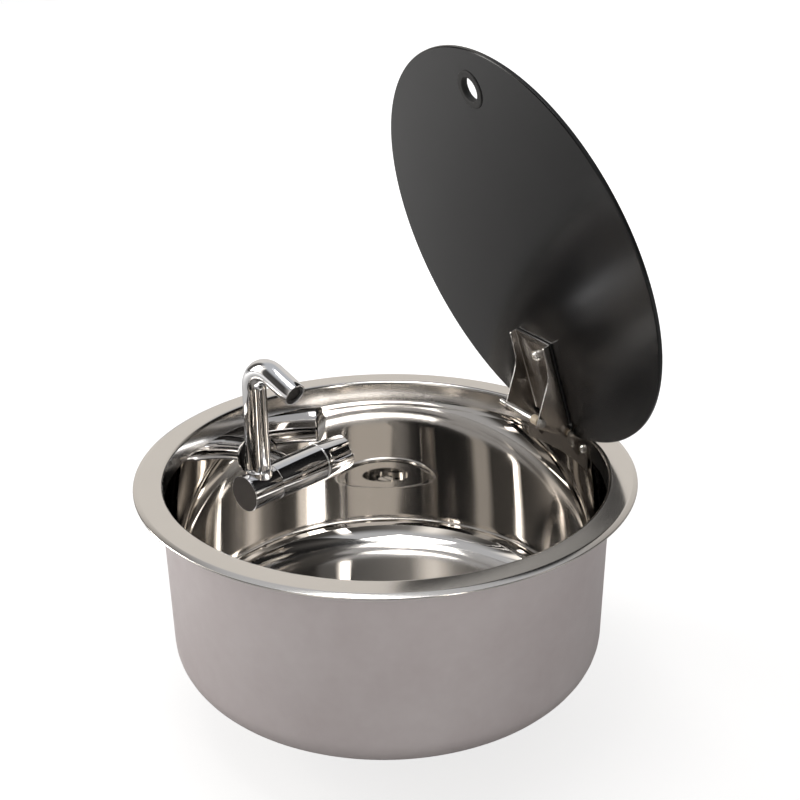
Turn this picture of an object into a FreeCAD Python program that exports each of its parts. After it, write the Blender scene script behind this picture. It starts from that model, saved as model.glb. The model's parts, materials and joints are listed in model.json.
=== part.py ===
"""Round drop-in sink with a hinged glass lid and a folding tap.

Frame: millimetres, +Z up, origin on the bowl's axis in the worktop plane under the rim.
The lid's hinge is on the +Y side with its axis along X.
"""
import os

import FreeCAD
import Part
import Sketcher

SIZES = [
    # rim and bowl
    ("opening_dia", 372.0, "inside the rim's collar"),
    ("rim_width", 18.0, "flat part of the rim"),
    ("rim_edge_width", 6.0, "slope from the flat part to the outer edge"),
    ("rim_rise", 3.5, "top of the rim above the worktop"),
    ("rim_edge_gap", 0.4, "turned-down edge above the worktop"),
    ("rim_sheet", 1.0, "sheet thickness of the rim"),
    ("collar_depth", 20.0, "rim top to the collar's lower edge"),
    ("lip_radius", 3.5, "rounding between rim and collar"),
    ("weld_gap", 0.15, "collar to bowl wall"),
    ("wall_start", 2.0, "rim underside to the top of the bowl wall"),
    ("bowl_sheet", 1.0, "sheet thickness of the bowl"),
    ("bowl_depth", 174.0, "rim top to the underside of the bowl"),
    ("bowl_straight", 26.0, "cylindrical stretch of wall under the rim"),
    ("bowl_draw_in", 2.3, "how much the wall's radius shrinks to the bottom"),
    ("bottom_radius", 30.0, "outside corner radius at the bottom"),
    ("seal_inner_gap", 1.85, "bowl wall to the rim seal"),
    ("seal_margin", 1.0, "rim seal to the edge of the rim's flat part"),
    # waste outlet
    ("recess_dia", 78.0, "pressed recess round the outlet, inside"),
    ("recess_depth", 5.0, "depth of that recess"),
    ("recess_radius", 3.0, "corner radii of that recess"),
    ("strainer_gap", 4.0, "strainer flange to the recess's wall"),
    ("strainer_cup_dia", 40.0, "strainer cup"),
    ("outlet_gap", 3.0, "strainer cup to the hole in the bottom"),
    ("cup_gap", 1.5, "strainer cup to the outlet body's cup"),
    ("strainer_cup_depth", 8.0, "strainer cup"),
    ("strainer_sheet", 1.0, "strainer sheet"),
    ("strainer_hole_dia", 5.5, "drain holes"),
    ("strainer_hole_circle", 24.0, "circle of the drain holes"),
    ("gasket_upper", 1.5, "strainer gasket thickness"),
    ("gasket_lower", 2.0, "outlet gasket thickness"),
    ("gasket_width", 10.0, "width of both outlet gaskets"),
    ("gasket_inset", 0.5, "outlet gaskets inside the strainer flange's edge"),
    ("waste_flange", 4.0, "outlet body flange thickness"),
    ("waste_wall", 2.5, "outlet body wall"),
    ("waste_cup_depth", 26.0, "outlet body below its flange"),
    ("spigot_dia", 25.0, "hose spigot"),
    ("spigot_length", 22.0, "hose spigot"),
    ("bridge_width", 9.0, "web that takes the clamp screw"),
    ("bridge_depth", 8.0, "web that takes the clamp screw"),
    ("clamp_screw_dia", 5.8, "strainer clamp screw"),
    ("clamp_screw_length", 20.0, "strainer clamp screw below its head"),
    ("clamp_head_dia", 12.0, "strainer clamp screw head"),
    ("clamp_head_height", 2.6, "strainer clamp screw head"),
    # lid
    ("lid_gap", 5.2, "edge of the closed lid to the collar, seen from above"),
    ("lid_thickness", 4.0, "glass lid"),
    ("lid_edge_bevel", 0.8, "ground edge of the glass"),
    ("lid_rise", 1.8, "underside of the closed lid above the rim top"),
    ("lid_open_angle", 72.5, "lid angle as it stands open"),
    ("finger_hole_dia", 28.0, "finger hole in the glass"),
    ("finger_hole_edge", 34.0, "centre of the finger hole from the lid's edge"),
    ("grommet_wall", 4.0, "grommet inside the finger hole"),
    ("grommet_lip", 2.0, "grommet flange beyond the finger hole"),
    ("grommet_flange", 1.0, "grommet flange thickness"),
    ("hinge_back", 12.5, "hinge axis inside the collar"),
    ("hinge_drop", 1.8, "hinge axis below the rim top"),
    ("hinge_pin_dia", 4.0, "hinge pin"),
    ("pin_fit", 0.05, "radial running clearance on the pin"),
    ("pin_head_dia", 5.6, "hinge pin heads"),
    ("pin_head_height", 1.6, "hinge pin heads"),
    ("knuckle_radius", 3.2, "metal round the hinge pin"),
    ("knuckle_shoulder", 1.28, "hinge axis to the corners beside the knuckle"),
    ("ear_crown_radius", 3.04, "rounding of the ear over the pin"),
    ("hinge_washer_inset", 0.3, "hinge washer inside the knuckle's edge"),
    ("bracket_width", 50.0, "lid bracket over its flanges"),
    ("bracket_sheet", 1.2, "lid bracket sheet"),
    ("bracket_length", 91.8, "hinge axis to the bracket's far edge"),
    ("bracket_web_start", 8.0, "hinge axis to the near edge of the web"),
    ("pad_thickness", 1.0, "rubber pad between bracket and glass"),
    ("flange_depth_end", 8.5, "flange depth below the glass at its far end"),
    ("flange_depth_neck", 9.0, "flange depth below the glass at its neck"),
    ("flange_neck", 62.0, "hinge axis to the neck"),
    ("flange_tip", 23.0, "hinge axis to the flange's tip"),
    ("flange_depth_tip", 34.5, "flange depth below the glass at its tip"),
    ("flange_heel", 3.5, "hinge axis to the heel behind the tip"),
    ("flange_depth_heel", 12.6, "flange depth below the glass at the heel"),
    ("flange_tip_radius", 3.0, "rounding of the tip"),
    ("flange_sweep_radius", 35.0, "rounding of the neck and shoulder"),
    ("lid_screw_dia", 5.0, "lid screws"),
    ("lid_screw_far", 72.5, "hinge axis to the far lid screw"),
    ("lid_screw_near", 24.0, "hinge axis to the near lid screw"),
    ("lid_screw_head_dia", 8.0, "lid screw head"),
    ("lid_screw_head", 2.4, "lid screw head height"),
    ("lid_screw_crown", 1.44, "rounding of the lid screw head"),
    ("screw_recess_width", 1.3, "cross recess"),
    ("screw_recess_arm", 2.24, "cross recess, from its middle"),
    ("lid_washer_dia", 10.0, "lid screw washer"),
    ("lid_washer", 0.8, "lid screw washer thickness"),
    ("sleeve_wall", 1.2, "plastic sleeve in the glass"),
    ("cap_nut_dia", 14.0, "cap nut on top of the glass"),
    ("cap_nut_height", 3.8, "cap nut on top of the glass"),
    ("cap_nut_roof", 1.14, "solid top of the cap nut"),
    ("cap_gasket", 0.6, "gasket under the cap nut"),
    ("cross_bolt_dia", 3.8, "bolt across the bracket's flanges"),
    ("cross_bolt_inset", 3.5, "cross bolt from the flange's tip, along the lid"),
    ("cross_bolt_rise", 5.4, "cross bolt from the flange's tip, towards the glass"),
    ("cross_tube_dia", 6.8, "tube on the cross bolt"),
    ("bush_dia", 8.4, "nylon bush on the cross bolt"),
    ("bush_length", 8.4, "nylon bush on the cross bolt"),
    ("bush_gap", 0.2, "play at each end of the tube and the bush"),
    ("cross_tube_wall", 1.0, "tube on the cross bolt"),
    ("cross_head_dia", 6.6, "long head of the cross bolt"),
    ("cross_head_length", 8.0, "long head of the cross bolt"),
    ("cross_nut_width", 7.0, "cross bolt nut across flats"),
    ("cross_nut_height", 4.0, "cross bolt nut"),
    # hinge base on the bowl wall
    ("base_sheet", 1.5, "hinge base sheet"),
    ("base_wing", 15.9, "hinge base plate beyond each ear"),
    ("base_gap", 0.1, "hinge base to the collar"),
    ("base_top_drop", 8.5, "hinge base top below the rim top"),
    ("base_height", 23.5, "hinge base height"),
    ("ear_gap", 1.6, "bracket flange to ear"),
    ("ear_neck_back", 4.7, "hinge axis to the notch behind the ear"),
    ("ear_neck_drop", 5.1, "hinge axis down to that notch"),
    ("ear_front_drop", 6.7, "hinge axis down to the ear's slanted edge"),
    ("ear_foot", 18.0, "height of the ear where it joins the plate"),
    ("base_screw_inset", 8.0, "base screws from the plate's ends"),
    ("base_screw_drop", 14.5, "base screws below the rim top"),
    ("base_screw_dia", 4.0, "base screws"),
    ("base_screw_head_dia", 8.0, "base screw head"),
    ("base_screw_head", 2.4, "base screw head height"),
    ("base_screw_face_dia", 4.8, "flat end of the base screw head"),
    ("base_nut_dia", 8.0, "base screw nut"),
    ("base_nut", 3.6, "base screw nut height"),
    ("washer_fit", 0.1, "play beside each hinge washer"),
    ("seat_gap", 0.1, "flat seats on curved sheet"),
    # tap
    ("tap_azimuth", 196.0, "direction of the tap from the bowl's axis"),
    ("tap_drop", 55.6, "tap axis below the rim top"),
    ("tap_reach", 54.0, "tap axis to the collar"),
    ("tap_offset", 14.0, "stem beside the radius square to the tap axis"),
    ("tap_spout_radius", 16.8, "tap body at the spout end"),
    ("tap_knob_radius", 18.6, "tap body at the knob end"),
    ("tap_spout_side", 29.0, "stem axis to the seam of the spout"),
    ("tap_knob_side", 25.5, "stem axis to the knob end of the body"),
    ("tap_bore", 29.0, "cartridge bore"),
    ("tap_bore_depth", 30.0, "cartridge bore depth"),
    ("stem_dia", 22.0, "neck between tap and wall"),
    ("shank_dia", 20.8, "threaded shank through the wall"),
    ("shank_play", 0.6, "radial play of the shank in the wall"),
    ("rose_dia", 40.0, "domed rose on the wall"),
    ("rose_height", 5.0, "domed rose"),
    ("rose_crown", 4.0, "rounding of the rose"),
    ("rose_gasket_dia", 34.0, "gaskets on both sides of the wall"),
    ("rose_gasket", 3.0, "gasket under the rose, to the line of the collar"),
    ("outer_gasket", 2.0, "gasket outside the bowl wall"),
    ("gasket_fit", 0.1, "gaskets to the wall"),
    ("water_way_dia", 8.0, "water way in the tap body"),
    ("shank_washer_dia", 34.0, "washer outside the wall"),
    ("shank_washer", 2.0, "washer thickness"),
    ("shank_nut_width", 30.0, "nut across flats"),
    ("shank_nut", 7.0, "nut height"),
    ("shank_stickout", 10.5, "shank beyond its nut"),
    ("tail_dia", 12.0, "inlet tail"),
    ("tail_length", 25.0, "inlet tail beyond the shank"),
    ("tail_grip", 20.0, "inlet tail inside the shank"),
    ("tail_step", 1.0, "shoulder of the inlet tail against the shank"),
    ("tail_wall", 1.5, "inlet tail"),
    ("tail_fit", 0.02, "radial clearance of close fixed fits"),
    # spout
    ("journal_dia", 20.0, "journal that the spout turns on"),
    ("journal_length", 21.0, "journal beyond the seam"),
    ("journal_fit", 0.05, "radial running clearance of the spout"),
    ("seam_gap", 0.3, "gap at the seams of the turning parts"),
    ("ring_groove", 1.2, "depth of the seal grooves"),
    ("ring_width", 2.4, "width of the seal grooves"),
    ("ring_first", 4.2, "seam to the first seal groove"),
    ("ring_second", 14.7, "seam to the second seal groove"),
    ("ring_play", 0.05, "play beside each sealing ring"),
    ("spout_base_length", 31.5, "seam to the end cap"),
    ("end_cap_thickness", 1.5, "flat end cap"),
    ("end_cap_plug", 3.0, "plug of the end cap in the bore"),
    ("spout_tube_side", 14.8, "seam to the tube's axis"),
    ("spout_tube_dia", 21.6, "spout tube"),
    ("spout_wall", 1.5, "spout tube wall"),
    ("spout_collar_wall", 1.7, "collar at the foot of the tube"),
    ("spout_collar_top", 19.5, "tap axis to the collar's top"),
    ("spout_foot", 13.2, "tap axis to the foot of the tube"),
    ("spout_height", 128.0, "tap axis to the corner of the spout"),
    ("spout_bend", 20.0, "bend radius of the spout"),
    ("spout_droop", 21.9, "slope of the nozzle below level"),
    ("spout_reach", 58.4, "corner of the spout to its end"),
    ("aerator_length", 9.0, "aerator insert"),
    ("aerator_recess", 0.8, "aerator below the end of the tube"),
    ("aerator_bore", 13.0, "aerator insert bore"),
    ("mesh_thickness", 1.0, "aerator mesh"),
    # knob
    ("trim_width", 0.8, "bright ring between body and knob"),
    ("trim_stand", 0.15, "bright ring proud of the body"),
    ("knob_length", 33.9, "knob"),
    ("knob_end_radius", 17.0, "knob at its end"),
    ("knob_end_round", 2.0, "rounding of the knob's end"),
    ("knob_notch_width", 9.0, "finger notch"),
    ("knob_notch_depth", 3.0, "finger notch"),
    ("knob_notch_start", 4.0, "bright ring to the notch"),
    ("knob_notch_angle", 31.0, "notch above level, tap closed"),
    ("spindle_dia", 8.0, "spindle"),
    ("spindle_grip", 20.0, "spindle inside the knob"),
    ("spindle_fit", 0.05, "radial clearance of the spindle"),
    ("cartridge_fit", 0.05, "radial clearance of the cartridge"),
    ("cartridge_end", 1.0, "cartridge to the end of its bore, and spindle to the cartridge's end"),
    ("spindle_end", 0.5, "spindle to the end of its bore in the knob"),
    ("overrun", 5.0, "how far a cut reaches past what it cuts"),
    ("thread_end", 1.0, "thread beyond a nut"),
    ("screw_fit", 0.3, "radial play of screws in their holes"),
]

doc = FreeCAD.newDocument("RoundSink")
sheet = doc.addObject("Spreadsheet::Sheet", "Sizes")
parts = []


def fill_sheet():
    """Write the driving sizes into the sheet, one aliased cell each."""
    for row, (name, value, note) in enumerate(SIZES, start=1):
        sheet.set("A%d" % row, name)
        sheet.set("B%d" % row, repr(value))
        sheet.setAlias("B%d" % row, name)
        sheet.set("C%d" % row, note)
    doc.recompute()


def cell(name):
    """The expression that reads one cell."""
    return "Sizes." + name


def value(expression):
    """The number that an expression gives now."""
    return float(getattr(sheet.evalExpression(expression), "Value", sheet.evalExpression(expression)))


# places that several pieces share, as expressions over the sheet
RIM_TOP = cell("rim_rise")
RIM_FLAT_R = "(Sizes.opening_dia / 2 + Sizes.rim_width)"
RIM_OUT_R = "(Sizes.opening_dia / 2 + Sizes.rim_width + Sizes.rim_edge_width)"
RIM_UNDER = "(Sizes.rim_rise - Sizes.rim_sheet)"
COLLAR_R = "(Sizes.opening_dia / 2)"
COLLAR_OUT_R = "(Sizes.opening_dia / 2 + Sizes.rim_sheet)"
COLLAR_END = "(Sizes.rim_rise - Sizes.collar_depth)"
WALL_IN_R = "(Sizes.opening_dia / 2 + Sizes.rim_sheet + Sizes.weld_gap)"
WALL_OUT_R = "(Sizes.opening_dia / 2 + Sizes.rim_sheet + Sizes.weld_gap + Sizes.bowl_sheet)"
UNDERSIDE = "(Sizes.rim_rise - Sizes.bowl_depth)"
FLOOR = "(Sizes.rim_rise - Sizes.bowl_depth + Sizes.bowl_sheet)"
RECESS_FLOOR = "(Sizes.rim_rise - Sizes.bowl_depth + Sizes.bowl_sheet - Sizes.recess_depth)"
RECESS_UNDER = "(Sizes.rim_rise - Sizes.bowl_depth - Sizes.recess_depth)"
STRAINER_R = "(Sizes.recess_dia / 2 - Sizes.strainer_gap)"
LID_R = "(Sizes.opening_dia / 2 - Sizes.lid_gap)"
FINGER_Y = "(Sizes.opening_dia - Sizes.hinge_back - Sizes.lid_gap - Sizes.finger_hole_edge)"
HINGE_Y = "(Sizes.opening_dia / 2 - Sizes.hinge_back)"
HINGE_Z = "(Sizes.rim_rise - Sizes.hinge_drop)"
GLASS_UNDER = "(Sizes.hinge_drop + Sizes.lid_rise)"
GLASS_TOP = "(Sizes.hinge_drop + Sizes.lid_rise + Sizes.lid_thickness)"
WEB_TOP = "(Sizes.hinge_drop + Sizes.lid_rise - Sizes.pad_thickness)"
WEB_UNDER = "(Sizes.hinge_drop + Sizes.lid_rise - Sizes.pad_thickness - Sizes.bracket_sheet)"
WALL_TOP = "(Sizes.rim_rise - Sizes.rim_sheet - Sizes.wall_start)"
TAP_Z = "(Sizes.rim_rise - Sizes.tap_drop)"
TAP_TURN = "(Sizes.tap_azimuth * 1 deg)"
TAP_R = "(Sizes.opening_dia / 2 - Sizes.tap_reach)"
TAP_X = "(%s * cos(%s) + Sizes.tap_offset * sin(%s))" % (TAP_R, TAP_TURN, TAP_TURN)
TAP_Y = "(%s * sin(%s) - Sizes.tap_offset * cos(%s))" % (TAP_R, TAP_TURN, TAP_TURN)
ROSE_BACK = "(Sizes.tap_reach - Sizes.rose_gasket)"
ROSE_FRONT = "(%s - Sizes.rose_height)" % ROSE_BACK
GASKET_BACK = "(Sizes.tap_reach + Sizes.rim_sheet + Sizes.bowl_sheet + Sizes.outer_gasket)"
WASHER_BACK = "(%s + Sizes.shank_washer)" % GASKET_BACK
SHANK_END = "(%s + Sizes.shank_nut + Sizes.shank_stickout)" % WASHER_BACK
SEAM_Y = cell("tap_spout_side")
RING_PLACES = (cell("ring_first"), cell("ring_second"))
KNOB_Y = "(0 - Sizes.tap_knob_side)"
PLATE_R = "(Sizes.opening_dia / 2 - Sizes.base_gap)"
EAR_FACE = "(Sizes.bracket_width / 2 + Sizes.ear_gap)"
BASE_HALF = "(%s + Sizes.base_sheet + Sizes.base_wing)" % EAR_FACE
BOLT_REACH = "(Sizes.flange_tip + Sizes.cross_bolt_inset)"
BOLT_Z = "(%s - Sizes.flange_depth_tip + Sizes.cross_bolt_rise)" % GLASS_UNDER


def origin_plane(body, role):
    """One of a body's own origin planes."""
    return [item for item in body.Origin.OriginFeatures if item.Role == role][0]


def new_body(label):
    body = doc.addObject("PartDesign::Body", label)
    body.Label = label
    return body


def new_sketch(body, plane, offset=None):
    """A sketch on an origin plane, moved along the plane's normal by an expression."""
    sketch = body.newObject("Sketcher::SketchObject", body.Name + "_sketch")
    sketch.AttachmentSupport = [(origin_plane(body, plane), "")]
    sketch.MapMode = "FlatFace"
    if offset:
        sketch.setExpression("AttachmentOffset.Base.z", offset)
    return sketch


def pin_point(sketch, index, end, x, y):
    """Bind one point of a sketch to two expressions."""
    for kind, expression in (("DistanceX", x), ("DistanceY", y)):
        made = sketch.addConstraint(Sketcher.Constraint(kind, -1, 1, index, end, value(expression)))
        sketch.setExpression("Constraints[%d]" % made, expression)


def outline(body, plane, points, offset=None):
    """A closed outline of straight lines through points given as expressions."""
    sketch = new_sketch(body, plane, offset)
    spots = [FreeCAD.Vector(value(x), value(y), 0) for x, y in points]
    count = len(points)
    for index in range(count):
        sketch.addGeometry(Part.LineSegment(spots[index], spots[(index + 1) % count]), False)
    for index in range(count):
        sketch.addConstraint(Sketcher.Constraint("Coincident", index, 2, (index + 1) % count, 1))
    for index, (x, y) in enumerate(points):
        pin_point(sketch, index, 1, x, y)
    return sketch


def box_outline(body, plane, low, high, offset=None):
    """A rectangle between two corners given as expressions."""
    corners = [low, (high[0], low[1]), high, (low[0], high[1])]
    return outline(body, plane, corners, offset)


def circles(body, plane, rings, offset=None):
    """Circles, each given as centre x, centre y and radius expressions."""
    sketch = new_sketch(body, plane, offset)
    for index, (x, y, radius) in enumerate(rings):
        centre = FreeCAD.Vector(value(x), value(y), 0)
        sketch.addGeometry(Part.Circle(centre, FreeCAD.Vector(0, 0, 1), value(radius)), False)
        pin_point(sketch, index, 3, x, y)
        made = sketch.addConstraint(Sketcher.Constraint("Radius", index, value(radius)))
        sketch.setExpression("Constraints[%d]" % made, radius)
    return sketch


def spin(body, sketch, axis="V_Axis", cut=False, angle=None):
    """Turn a sketch about one of its axes."""
    kind = "PartDesign::Groove" if cut else "PartDesign::Revolution"
    feature = body.newObject(kind, body.Name + "_turned")
    feature.Profile = sketch
    feature.ReferenceAxis = (sketch, [axis])
    feature.Angle = 360
    if angle:
        feature.Midplane = True
        feature.setExpression("Angle", angle)
    doc.recompute()
    return feature


def extrude(body, sketch, length, cut=False, middle=False, back=False):
    """Pad or pocket a sketch by a length expression."""
    kind = "PartDesign::Pocket" if cut else "PartDesign::Pad"
    feature = body.newObject(kind, body.Name + ("_cut" if cut else "_pad"))
    feature.Profile = sketch
    feature.setExpression("Length", length)
    feature.Midplane = middle
    feature.Reversed = back
    doc.recompute()
    return feature


def cut_checked(body, sketch, length, middle=False, back=False):
    """A pocket that has to take material away."""
    before = body.Shape.Volume
    feature = extrude(body, sketch, length, True, middle, back)
    if body.Shape.Volume > before - 1e-6:
        raise RuntimeError("a pocket in %s cuts nothing" % body.Label)
    return feature


def soften(body, radius, wanted, kind="PartDesign::Fillet"):
    """Round or bevel the tip's edges that a test picks out."""
    tip = body.Tip
    names = ["Edge%d" % number for number, edge in enumerate(tip.Shape.Edges, start=1) if wanted(edge)]
    if not names:
        raise RuntimeError("no edge to soften in %s" % body.Label)
    feature = body.newObject(kind, body.Name + "_soft")
    feature.Base = (tip, names)
    feature.setExpression("Radius" if kind.endswith("Fillet") else "Size", radius)
    doc.recompute()
    return feature


def ring_at(radius, height):
    """Test for a full circle about Z with this radius at this height."""
    def wanted(edge):
        box = edge.BoundBox
        level = abs(box.ZMin - value(height)) < 1e-3 and box.ZLength < 1e-3
        return level and abs(box.XLength / 2 - value(radius)) < 1e-3
    return wanted


def line_at(axis, first, second):
    """Test for a straight edge along an axis, at two coordinates given as expressions."""
    others = [index for index in range(3) if index != axis]

    def wanted(edge):
        if len(edge.Vertexes) < 2:
            return False
        ends = [vertex.Point for vertex in edge.Vertexes]
        for index, place in zip(others, (first, second)):
            if any(abs(point[index] - value(place)) > 1e-3 for point in ends):
                return False
        return True
    return wanted


def place(item, base=None, angle=None, axis=(0, 0, 1)):
    """Set a placement from expressions: base point and turn about an axis."""
    item.Placement = FreeCAD.Placement(FreeCAD.Vector(), FreeCAD.Rotation(FreeCAD.Vector(*axis), 1))
    for name, expression in zip("xyz", base or ("0", "0", "0")):
        item.setExpression("Placement.Base." + name, expression)
    item.setExpression("Placement.Rotation.Angle", (angle or "0") + " * 1 deg")
    doc.recompute()


def keep(item):
    """Count an object as a sub-part of the sink."""
    parts.append(item)
    return item


def place_on_lid(item):
    """Lid pieces are drawn about the hinge axis with the lid closed, then opened."""
    place(item, ("0", HINGE_Y, HINGE_Z), "(0 - Sizes.lid_open_angle)", (1, 0, 0))


def place_on_tap(item, along="0"):
    """Tap pieces are drawn about the stem: x to the wall, y along the tap to the spout's end."""
    base = ("%s - %s * sin(%s)" % (TAP_X, along, TAP_TURN), "%s + %s * cos(%s)" % (TAP_Y, along, TAP_TURN), TAP_Z)
    place(item, base, cell("tap_azimuth"))


def mirrored(item):
    """A mirror copy across the plane x = 0."""
    copy = doc.addObject("Part::Mirroring", item.Name + "_mirror")
    copy.Source = item
    copy.Normal = (1, 0, 0)
    doc.recompute()
    return copy


def group(label, items):
    """Loose solids that share one node."""
    together = doc.addObject("Part::Compound", label)
    together.Label = label
    together.Links = items
    doc.recompute()
    return together


def disc(label, radius, low, high, bore=None, plane="XY_Plane"):
    """A plain disc or ring along the normal of a plane."""
    body = new_body(label)
    extrude(body, circles(body, plane, [("0", "0", radius)], low), "%s - (%s)" % (high, low))
    if bore:
        cut_checked(body, circles(body, plane, [("0", "0", bore)], high), "%s - (%s)" % (high, low))
    return body


# ---------------------------------------------------------------- rim and bowl
def make_rim():
    body = new_body("rim_ring")
    flat = RIM_FLAT_R
    outer = RIM_OUT_R
    sheet_t = cell("rim_sheet")
    points = [
        (COLLAR_R, COLLAR_END), (COLLAR_OUT_R, COLLAR_END), (COLLAR_OUT_R, RIM_UNDER), (flat, RIM_UNDER),
        ("%s - %s" % (outer, sheet_t), cell("rim_edge_gap")), (outer, cell("rim_edge_gap")),
        (outer, "Sizes.rim_edge_gap + Sizes.rim_sheet / 2"), (flat, RIM_TOP), (COLLAR_R, RIM_TOP)]
    spin(body, outline(body, "XZ_Plane", points))
    soften(body, cell("lip_radius"), ring_at(COLLAR_R, RIM_TOP))
    soften(body, "Sizes.lip_radius - Sizes.rim_sheet", ring_at(COLLAR_OUT_R, RIM_UNDER))
    soften(body, "Sizes.lip_radius * 2", ring_at(flat, RIM_TOP))
    cut_base_screws(body)
    keep(body)


def bowl_outline(body, inner):
    """Half section of the bowl's outside, or of its hollow."""
    wall = cell("bowl_sheet")
    shift = wall if inner else "0"
    top = RIM_TOP if inner else WALL_TOP
    side = "(%s - %s)" % (WALL_OUT_R, shift)
    foot = "(%s - Sizes.bowl_draw_in)" % side
    recess = "(Sizes.recess_dia / 2 + Sizes.bowl_sheet - %s)" % shift
    bottom = "(%s + %s)" % (UNDERSIDE, shift)
    deep = "(%s + %s)" % (RECESS_UNDER, shift)
    bend = "(Sizes.rim_rise - Sizes.rim_sheet - Sizes.bowl_straight)"
    points = [("0", deep), (recess, deep), (recess, bottom), (foot, bottom), (side, bend), (side, top), ("0", top)]
    return outline(body, "XZ_Plane", points)


def soften_bottom(body):
    """Round the bottom corner and the recess; the hollow side of each bend comes first."""
    wall = cell("bowl_sheet")
    recess = "(Sizes.recess_dia / 2 + Sizes.bowl_sheet)"
    foot = "(%s - Sizes.bowl_draw_in)" % WALL_OUT_R
    soften(body, "Sizes.bottom_radius - " + wall, ring_at("%s - %s" % (foot, wall), FLOOR))
    soften(body, cell("bottom_radius"), ring_at(foot, UNDERSIDE))
    soften(body, cell("recess_radius"), ring_at(recess, UNDERSIDE))
    soften(body, "Sizes.recess_radius + " + wall, ring_at("%s - %s" % (recess, wall), FLOOR))


def wall_hole(body, azimuth, height, radius, sideways="0"):
    """A hole through the wall at an azimuth in degrees, moved sideways off the bowl's axis."""
    sketch = circles(body, "XZ_Plane", [(sideways, height, radius)])
    upright = FreeCAD.Rotation(FreeCAD.Vector(0, 1, 0), 1)
    sketch.AttachmentOffset = FreeCAD.Placement(FreeCAD.Vector(), upright)
    sketch.setExpression("AttachmentOffset.Rotation.Angle", "(%s - 90) * 1 deg" % azimuth)
    doc.recompute()
    cut_checked(body, sketch, RIM_OUT_R)


def base_screw_turn(side):
    """Azimuth of one hinge base screw."""
    return "(90 - %d * asin((%s - Sizes.base_screw_inset) / %s) / 1 deg)" % (side, BASE_HALF, PLATE_R)


def make_bowl():
    body = new_body("bowl")
    spin(body, bowl_outline(body, False))
    spin(body, bowl_outline(body, True), cut=True)
    soften_bottom(body)
    hole = circles(body, "XY_Plane", [("0", "0", "Sizes.strainer_cup_dia / 2 + Sizes.outlet_gap")],
                   RECESS_FLOOR + " + Sizes.overrun")
    cut_checked(body, hole, "Sizes.bowl_sheet + 2 * Sizes.overrun")
    shank = "Sizes.shank_dia / 2 + Sizes.shank_play"
    wall_hole(body, cell("tap_azimuth"), TAP_Z, shank, cell("tap_offset"))
    cut_base_screws(body)
    keep(body)


def cut_base_screws(body):
    """Clearance holes for the two hinge base screws."""
    for side in (-1, 1):
        height = "Sizes.rim_rise - Sizes.base_screw_drop"
        wall_hole(body, base_screw_turn(side), height, "Sizes.base_screw_dia / 2 + Sizes.screw_fit")


def make_seal():
    body = new_body("rim_seal")
    inner = "(%s + Sizes.seal_inner_gap)" % WALL_OUT_R
    spin(body, box_outline(body, "XZ_Plane", (inner, "0"), (RIM_FLAT_R + " - Sizes.seal_margin", RIM_UNDER)))
    keep(body)


# ---------------------------------------------------------------- waste outlet
def flat_ring(label, outer, width, low, high):
    body = new_body(label)
    inner = "%s - %s" % (outer, width)
    spin(body, box_outline(body, "XZ_Plane", (inner, low), (outer, high)))
    keep(body)


def make_strainer():
    body = new_body("waste_strainer")
    base = "(%s + Sizes.gasket_upper)" % RECESS_FLOOR
    top = "(%s + Sizes.strainer_sheet)" % base
    cup = "(Sizes.strainer_cup_dia / 2)"
    low = "(%s - Sizes.strainer_cup_depth)" % top
    sheet_t = cell("strainer_sheet")
    points = [
        ("0", low), (cup, low), (cup, base), (STRAINER_R, base), (STRAINER_R, top),
        ("%s - %s" % (cup, sheet_t), top), ("%s - %s" % (cup, sheet_t), "%s + %s" % (low, sheet_t)),
        ("0", "%s + %s" % (low, sheet_t))]
    spin(body, outline(body, "XZ_Plane", points))
    step = "Sizes.strainer_hole_circle / 2 * %s(%d deg)"
    holes = [(step % ("cos", turn), step % ("sin", turn), "Sizes.strainer_hole_dia / 2")
             for turn in range(0, 360, 45)]
    holes.append(("0", "0", "Sizes.clamp_screw_dia / 2 + Sizes.screw_fit"))
    cut_checked(body, circles(body, "XY_Plane", holes, top), "Sizes.strainer_cup_depth + Sizes.overrun")
    keep(body)


def make_waste_body():
    body = new_body("waste_body")
    top = "(%s - Sizes.gasket_lower)" % RECESS_UNDER
    cup_in = "(Sizes.strainer_cup_dia / 2 + Sizes.cup_gap)"
    cup_out = "(%s + Sizes.waste_wall)" % cup_in
    under = "(%s - Sizes.waste_flange)" % top
    low = "(%s - Sizes.waste_cup_depth)" % under
    spigot = "(Sizes.spigot_dia / 2)"
    pipe = "(Sizes.spigot_dia / 2 - Sizes.waste_wall)"
    end = "(%s - Sizes.spigot_length)" % low
    points = [
        (pipe, end), (spigot, end), (spigot, low), (cup_out, low), (cup_out, under),
        (STRAINER_R, under), (STRAINER_R, top), (cup_in, top),
        (cup_in, "%s + Sizes.waste_wall" % low), (pipe, "%s + Sizes.waste_wall" % low)]
    spin(body, outline(body, "XZ_Plane", points))
    bridge_top = "(%s - Sizes.strainer_cup_depth)" % top
    half = "Sizes.bridge_width / 2"
    span = "(%s + Sizes.waste_wall / 2)" % cup_in
    bar = box_outline(body, "XY_Plane", ("0 - " + span, "0 - " + half), (span, half), bridge_top)
    extrude(body, bar, cell("bridge_depth"), back=True)
    hole = circles(body, "XY_Plane", [("0", "0", "Sizes.clamp_screw_dia / 2 + Sizes.tail_fit")], bridge_top)
    cut_checked(body, hole, "Sizes.bridge_depth + Sizes.overrun")
    keep(body)


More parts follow.
